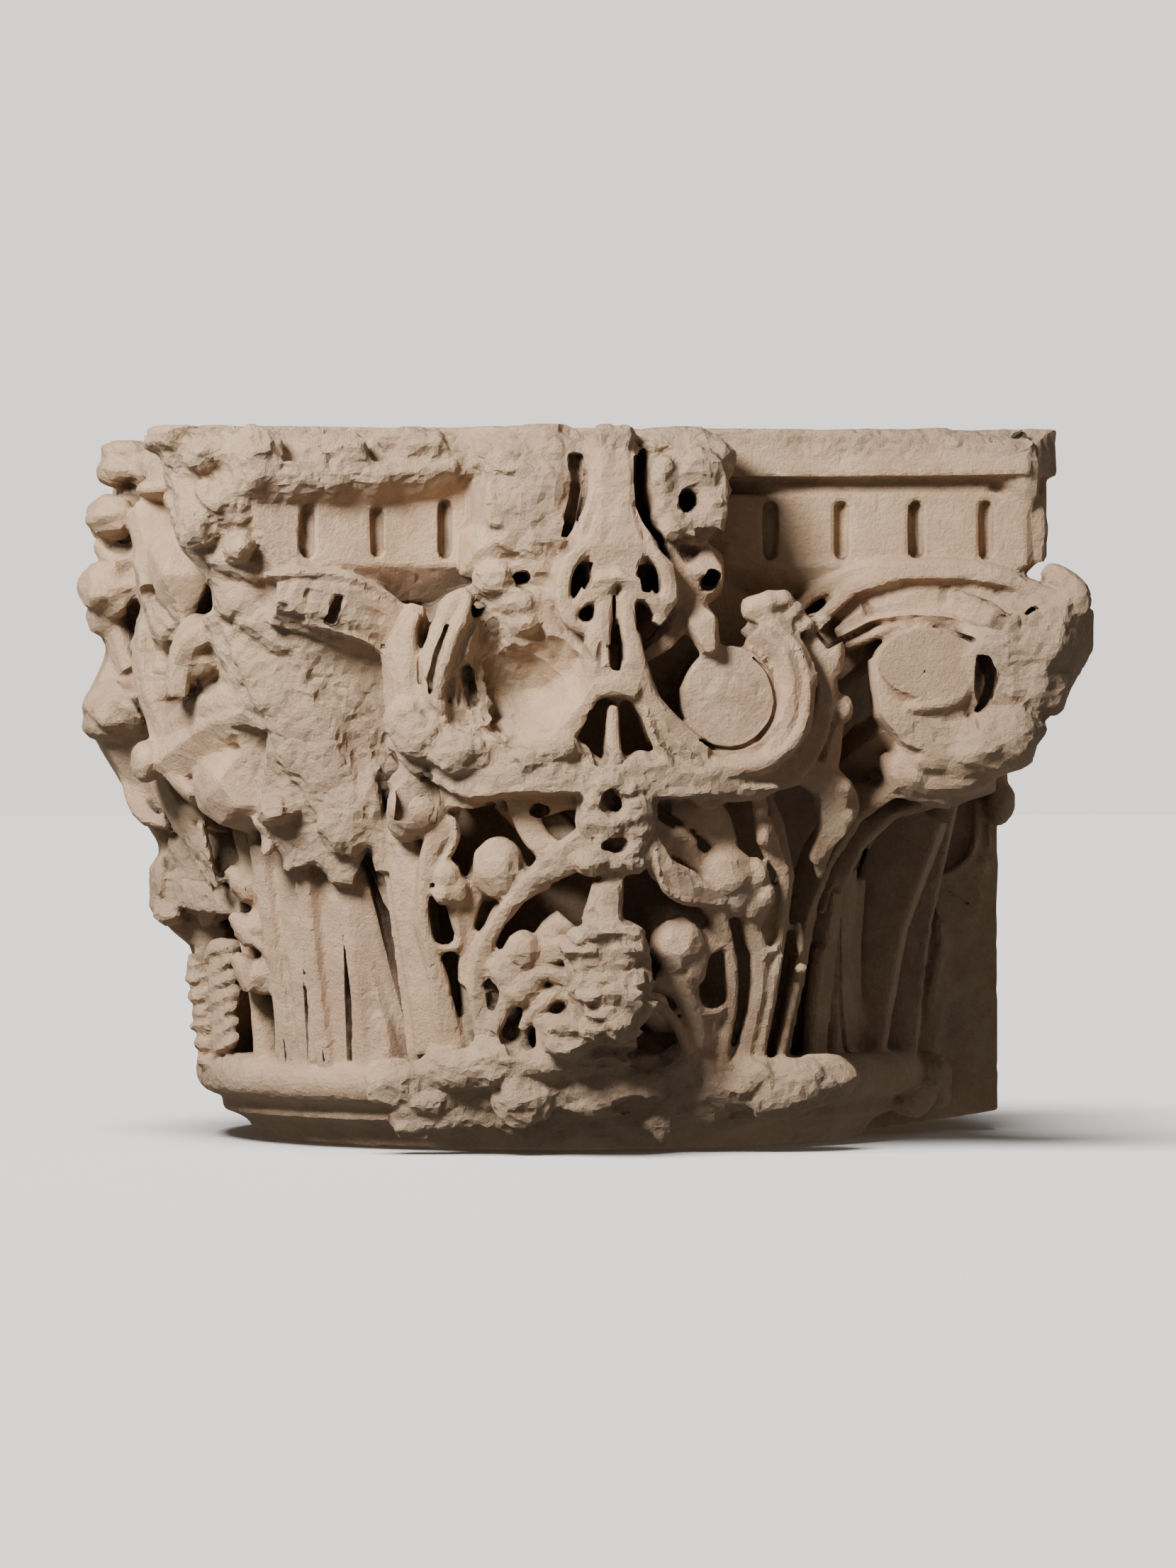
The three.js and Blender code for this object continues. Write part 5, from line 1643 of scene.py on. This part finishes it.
@dataclass(frozen=True)
class Limestone:
    """A warm, fine-grained limestone, paler where it is broken, with painted shade that darkens its hollows.
    """

    warm: Colour = (0.50, 0.34, 0.215)
    rosy: Colour = (0.47, 0.305, 0.205)
    cream: Colour = (0.66, 0.505, 0.345)
    grey: Colour = (0.36, 0.285, 0.23)
    broken: Colour = (0.60, 0.455, 0.32)
    # painted shade: the near-black colour laid into the hollows in place of the shade that falls there
    painted_shade: Colour = (0.050, 0.036, 0.028)

    def material(self) -> bpy.types.Material:
        """Makes the material.

        Returns:
            The material, which reads Object coordinates and the marks "rough" and "hollow".
        """
        made = bpy.data.materials.new("limestone")
        made.use_nodes = True
        tree = made.node_tree
        shader = tree.nodes["Principled BSDF"]
        shader.inputs["Roughness"].default_value = 0.93
        shader.inputs["Specular IOR Level"].default_value = 0.25
        rough = self._mark(tree, "rough")
        hollow = self._mark(tree, "hollow")
        patches = self._spread(tree, self._noise(tree, 6, 5, 0.55), 0.38, 0.62)
        clouds = self._spread(tree, self._noise(tree, 23, 8, 0.65), 0.40, 0.66)
        stains = self._spread(tree, self._noise(tree, 13, 9, 0.7, 1.5), 0.52, 0.72)
        grains = self._spread(tree, self._noise(tree, 420, 5, 0.7), 0.35, 0.62)
        specks = self._spread(tree, self._noise(tree, 190, 6, 0.75), 0.60, 0.70)
        colour = self._mix(tree, patches, self.warm, self.rosy)
        colour = self._mix(tree, clouds, colour, self.cream, 0.55)
        colour = self._mix(tree, stains, colour, self.grey, 0.55)
        colour = self._mix(tree, rough, colour, self.broken, 0.45)
        colour = self._mix(tree, grains, colour, self.cream, 0.22)
        colour = self._mix(tree, specks, colour, self.grey, 0.5)
        # Painted shade: the more enclosed a corner is, the nearer its colour goes to near black, standing in
        # for the shade in the hollows.
        colour = self._mix(tree, self._spread(tree, hollow, 0.36, 0.88), colour, self.painted_shade, 0.9)
        tree.links.new(colour, shader.inputs["Base Color"])
        self._relief(tree, shader, rough)
        return made

    @staticmethod
    def _mark(tree: bpy.types.NodeTree, name: str) -> bpy.types.NodeSocket:
        """Reads a mark of the mesh."""
        node = tree.nodes.new("ShaderNodeAttribute")
        node.attribute_name = name
        return node.outputs["Fac"]

    @staticmethod
    def _noise(
        tree: bpy.types.NodeTree, scale: float, detail: float, roughness: float, twist: float = 0.0
    ) -> bpy.types.NodeSocket:
        """A noise over Object coordinates, with scale swellings a metre."""
        place = tree.nodes.new("ShaderNodeTexCoord")
        node = tree.nodes.new("ShaderNodeTexNoise")
        node.inputs["Scale"].default_value = scale
        node.inputs["Detail"].default_value = detail
        node.inputs["Roughness"].default_value = roughness
        node.inputs["Distortion"].default_value = twist
        tree.links.new(place.outputs["Object"], node.inputs["Vector"])
        return node.outputs["Fac"]

    @staticmethod
    def _spread(
        tree: bpy.types.NodeTree, value: bpy.types.NodeSocket, low: float, high: float
    ) -> bpy.types.NodeSocket:
        """Spreads a value so that low gives 0 and high gives 1."""
        node = tree.nodes.new("ShaderNodeMapRange")
        node.interpolation_type = "SMOOTHSTEP"
        node.inputs["From Min"].default_value = low
        node.inputs["From Max"].default_value = high
        tree.links.new(value, node.inputs["Value"])
        return node.outputs["Result"]

    @staticmethod
    def _mix(
        tree: bpy.types.NodeTree,
        amount: bpy.types.NodeSocket,
        first: Colour | bpy.types.NodeSocket,
        second: Colour | bpy.types.NodeSocket,
        strength: float = 1.0,
    ) -> bpy.types.NodeSocket:
        """Mixes two colours by an amount, of which strength is the most."""
        scaled = tree.nodes.new("ShaderNodeMath")
        scaled.operation = "MULTIPLY"
        scaled.inputs[1].default_value = strength
        tree.links.new(amount, scaled.inputs[0])
        node = tree.nodes.new("ShaderNodeMix")
        node.data_type = "RGBA"
        tree.links.new(scaled.outputs[0], node.inputs["Factor"])
        for name, colour in (("A", first), ("B", second)):
            socket = [item for item in node.inputs if item.name == name and item.type == "RGBA"][0]
            if isinstance(colour, tuple):
                socket.default_value = (*colour, 1)
            else:
                tree.links.new(colour, socket)
        return [item for item in node.outputs if item.type == "RGBA"][0]

    def _relief(
        self, tree: bpy.types.NodeTree, shader: bpy.types.Node, rough: bpy.types.NodeSocket
    ) -> None:
        """Gives the skin its grain, tool marks and pits."""
        grain = self._noise(tree, 260, 8, 0.72)
        crust = self._noise(tree, 95, 7, 0.7)
        fine = tree.nodes.new("ShaderNodeBump")
        fine.inputs["Strength"].default_value = 0.9
        fine.inputs["Distance"].default_value = 0.0036
        tree.links.new(grain, fine.inputs["Height"])
        coarse = tree.nodes.new("ShaderNodeBump")
        coarse.inputs["Distance"].default_value = 0.0075
        strength = tree.nodes.new("ShaderNodeMapRange")
        strength.inputs["To Min"].default_value = 0.3
        strength.inputs["To Max"].default_value = 0.95
        tree.links.new(rough, strength.inputs["Value"])
        tree.links.new(strength.outputs["Result"], coarse.inputs["Strength"])
        tree.links.new(crust, coarse.inputs["Height"])
        tree.links.new(fine.outputs["Normal"], coarse.inputs["Normal"])
        tree.links.new(coarse.outputs["Normal"], shader.inputs["Normal"])


# ---------------------------------------------------------------- floor, light and camera


@dataclass
class Studio:
    """The pale floor, the soft light and the camera."""

    azimuth: float = -7.0
    eye_height: float = 0.337
    eye_side: float = 0.027
    distance: float = 6.0
    lens: float = 142.4
    floor_colour: Colour = (0.80, 0.78, 0.75)
    background: Colour = (1.46, 1.40, 1.31)
    box_azimuth: float = -42
    box_elevation: float = 33
    box_distance: float = 2.3
    box_size: float = 0.7
    box_power: float = 128
    box_colour: Colour = (1.0, 0.955, 0.90)
    box_target: Spot = (0, 350, 200)
    lamp_azimuth: float = -38
    lamp_elevation: float = 66
    lamp_distance: float = 4
    lamp_spread: float = 30
    lamp_strength: float = 6.6
    ambient: float = 0.16
    ambient_colour: Colour = (1.0, 0.96, 0.92)
    floor_size: float = 60

    def camera(self) -> None:
        """Places the camera level with the middle of the stone, a little to the left of its front."""
        angle = math.radians(self.azimuth)
        back = Vector((math.sin(angle), -math.cos(angle), 0))
        right = Vector((math.cos(angle), math.sin(angle), 0))
        data = bpy.data.cameras.new("camera")
        data.sensor_fit = "AUTO"
        data.sensor_width = 36
        data.lens = self.lens
        eye = bpy.data.objects.new("camera", data)
        eye.location = Vector((0, 0, self.eye_height)) + right * self.eye_side + back * self.distance
        eye.rotation_mode = "QUATERNION"
        eye.rotation_quaternion = (-back).to_track_quat("-Z", "Y")
        bpy.context.scene.collection.objects.link(eye)
        bpy.context.scene.camera = eye

    def floor(self) -> bpy.types.Object:
        """Lays the floor, which isn't part of the object, and returns it."""
        bm = bmesh.new()
        bmesh.ops.create_grid(bm, x_segments=1, y_segments=1, size=self.floor_size)
        mesh = bpy.data.meshes.new("floor")
        bm.to_mesh(mesh)
        bm.free()
        floor = bpy.data.objects.new("floor", mesh)
        bpy.context.scene.collection.objects.link(floor)
        material = bpy.data.materials.new("floor")
        material.use_nodes = True
        shader = material.node_tree.nodes["Principled BSDF"]
        shader.inputs["Base Color"].default_value = (*self.floor_colour, 1)
        shader.inputs["Roughness"].default_value = 1.0
        shader.inputs["Specular IOR Level"].default_value = 0.0
        mesh.materials.append(material)
        floor.visible_diffuse = False
        return floor

    def lights(self, stone: bpy.types.Object, floor: bpy.types.Object) -> None:
        """Lights the stone from the upper left and the floor evenly, under a weak sky.

        Args:
            stone: the object, which the soft box lights.
            floor: the floor, which the high lamp lights.
        """
        box = bpy.data.lights.new("soft box", "AREA")
        box.shape = "DISK"
        box.size = self.box_size
        box.energy = self.box_power
        box.color = self.box_colour
        toward = self._direction(self.box_azimuth, self.box_elevation)
        place = point_at(self.box_target) + toward * self.box_distance
        self._hang("soft box", box, place, toward, [stone])
        lamp = bpy.data.lights.new("high lamp", "SUN")
        lamp.energy = self.lamp_strength
        lamp.angle = math.radians(self.lamp_spread)
        toward = self._direction(self.lamp_azimuth, self.lamp_elevation)
        self._hang("high lamp", lamp, toward * self.lamp_distance, toward, [floor])
        self._sky()

    @staticmethod
    def _direction(azimuth: float, elevation: float) -> Vector:
        """A direction from the stone: azimuth 0 is the front and 90 its right, in degrees."""
        across, up = math.radians(azimuth), math.radians(elevation)
        level = Vector((math.sin(across), -math.cos(across), 0)) * math.cos(up)
        return level + Vector((0, 0, math.sin(up)))

    @staticmethod
    def _hang(
        name: str, data: bpy.types.Light, place: Vector, toward: Vector, lit: list[bpy.types.Object]
    ) -> None:
        """Hangs a light that shines back along toward, on the given objects alone."""
        light = bpy.data.objects.new(name, data)
        light.location = place
        light.rotation_mode = "QUATERNION"
        light.rotation_quaternion = toward.to_track_quat("Z", "Y")
        bpy.context.scene.collection.objects.link(light)
        receivers = bpy.data.collections.new(name)
        for item in lit:
            receivers.objects.link(item)
        light.light_linking.receiver_collection = receivers

    def _sky(self) -> None:
        """Sets an even backdrop that sheds little light."""
        world = bpy.data.worlds.new("studio")
        bpy.context.scene.world = world
        world.use_nodes = True
        nodes = world.node_tree.nodes
        links = world.node_tree.links
        seen = nodes["Background"]
        seen.inputs["Color"].default_value = (*self.background, 1)
        seen.inputs["Strength"].default_value = 1.0
        ambient = nodes.new("ShaderNodeBackground")
        ambient.inputs["Color"].default_value = (*self.ambient_colour, 1)
        ambient.inputs["Strength"].default_value = self.ambient
        path = nodes.new("ShaderNodeLightPath")
        mix = nodes.new("ShaderNodeMixShader")
        links.new(path.outputs["Is Camera Ray"], mix.inputs["Fac"])
        links.new(ambient.outputs["Background"], mix.inputs[1])
        links.new(seen.outputs["Background"], mix.inputs[2])
        links.new(mix.outputs["Shader"], nodes["World Output"].inputs["Surface"])


def copy_of_block() -> bpy.types.Object:
    """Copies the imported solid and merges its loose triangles.

    Returns:
        The copy, at the origin.
    """
    node = bpy.data.objects["capital"]
    mesh = node.data.copy()
    bm = bmesh.new()
    bm.from_mesh(mesh)
    bmesh.ops.remove_doubles(bm, verts=bm.verts, dist=WELD)
    bm.to_mesh(mesh)
    bm.free()
    mesh.materials.clear()
    made = bpy.data.objects.new("stone", mesh)
    bpy.context.scene.collection.objects.link(made)
    return made


def main() -> None:
    """Builds the stone, its finish and the studio."""
    logging.basicConfig(level=logging.INFO, format="%(name)s: %(message)s")
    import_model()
    studio = Studio()
    studio.camera()
    floor = studio.floor()
    surface = Surface()
    clay, cut = Carving().build()
    stone = surface.join(copy_of_block(), clay, cut)
    surface.round_sides(stone)
    surface.soften(stone, surface.wear)
    surface.weather(stone)
    surface.trim(stone)
    surface.thin(stone)
    surface.mark(stone)
    stone.data.materials.clear()
    stone.data.materials.append(Limestone().material())
    for face in stone.data.polygons:
        face.material_index = 0
    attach(stone, "root")
    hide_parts("capital")
    studio.lights(stone, floor)


if __name__ == "__main__":
    main()
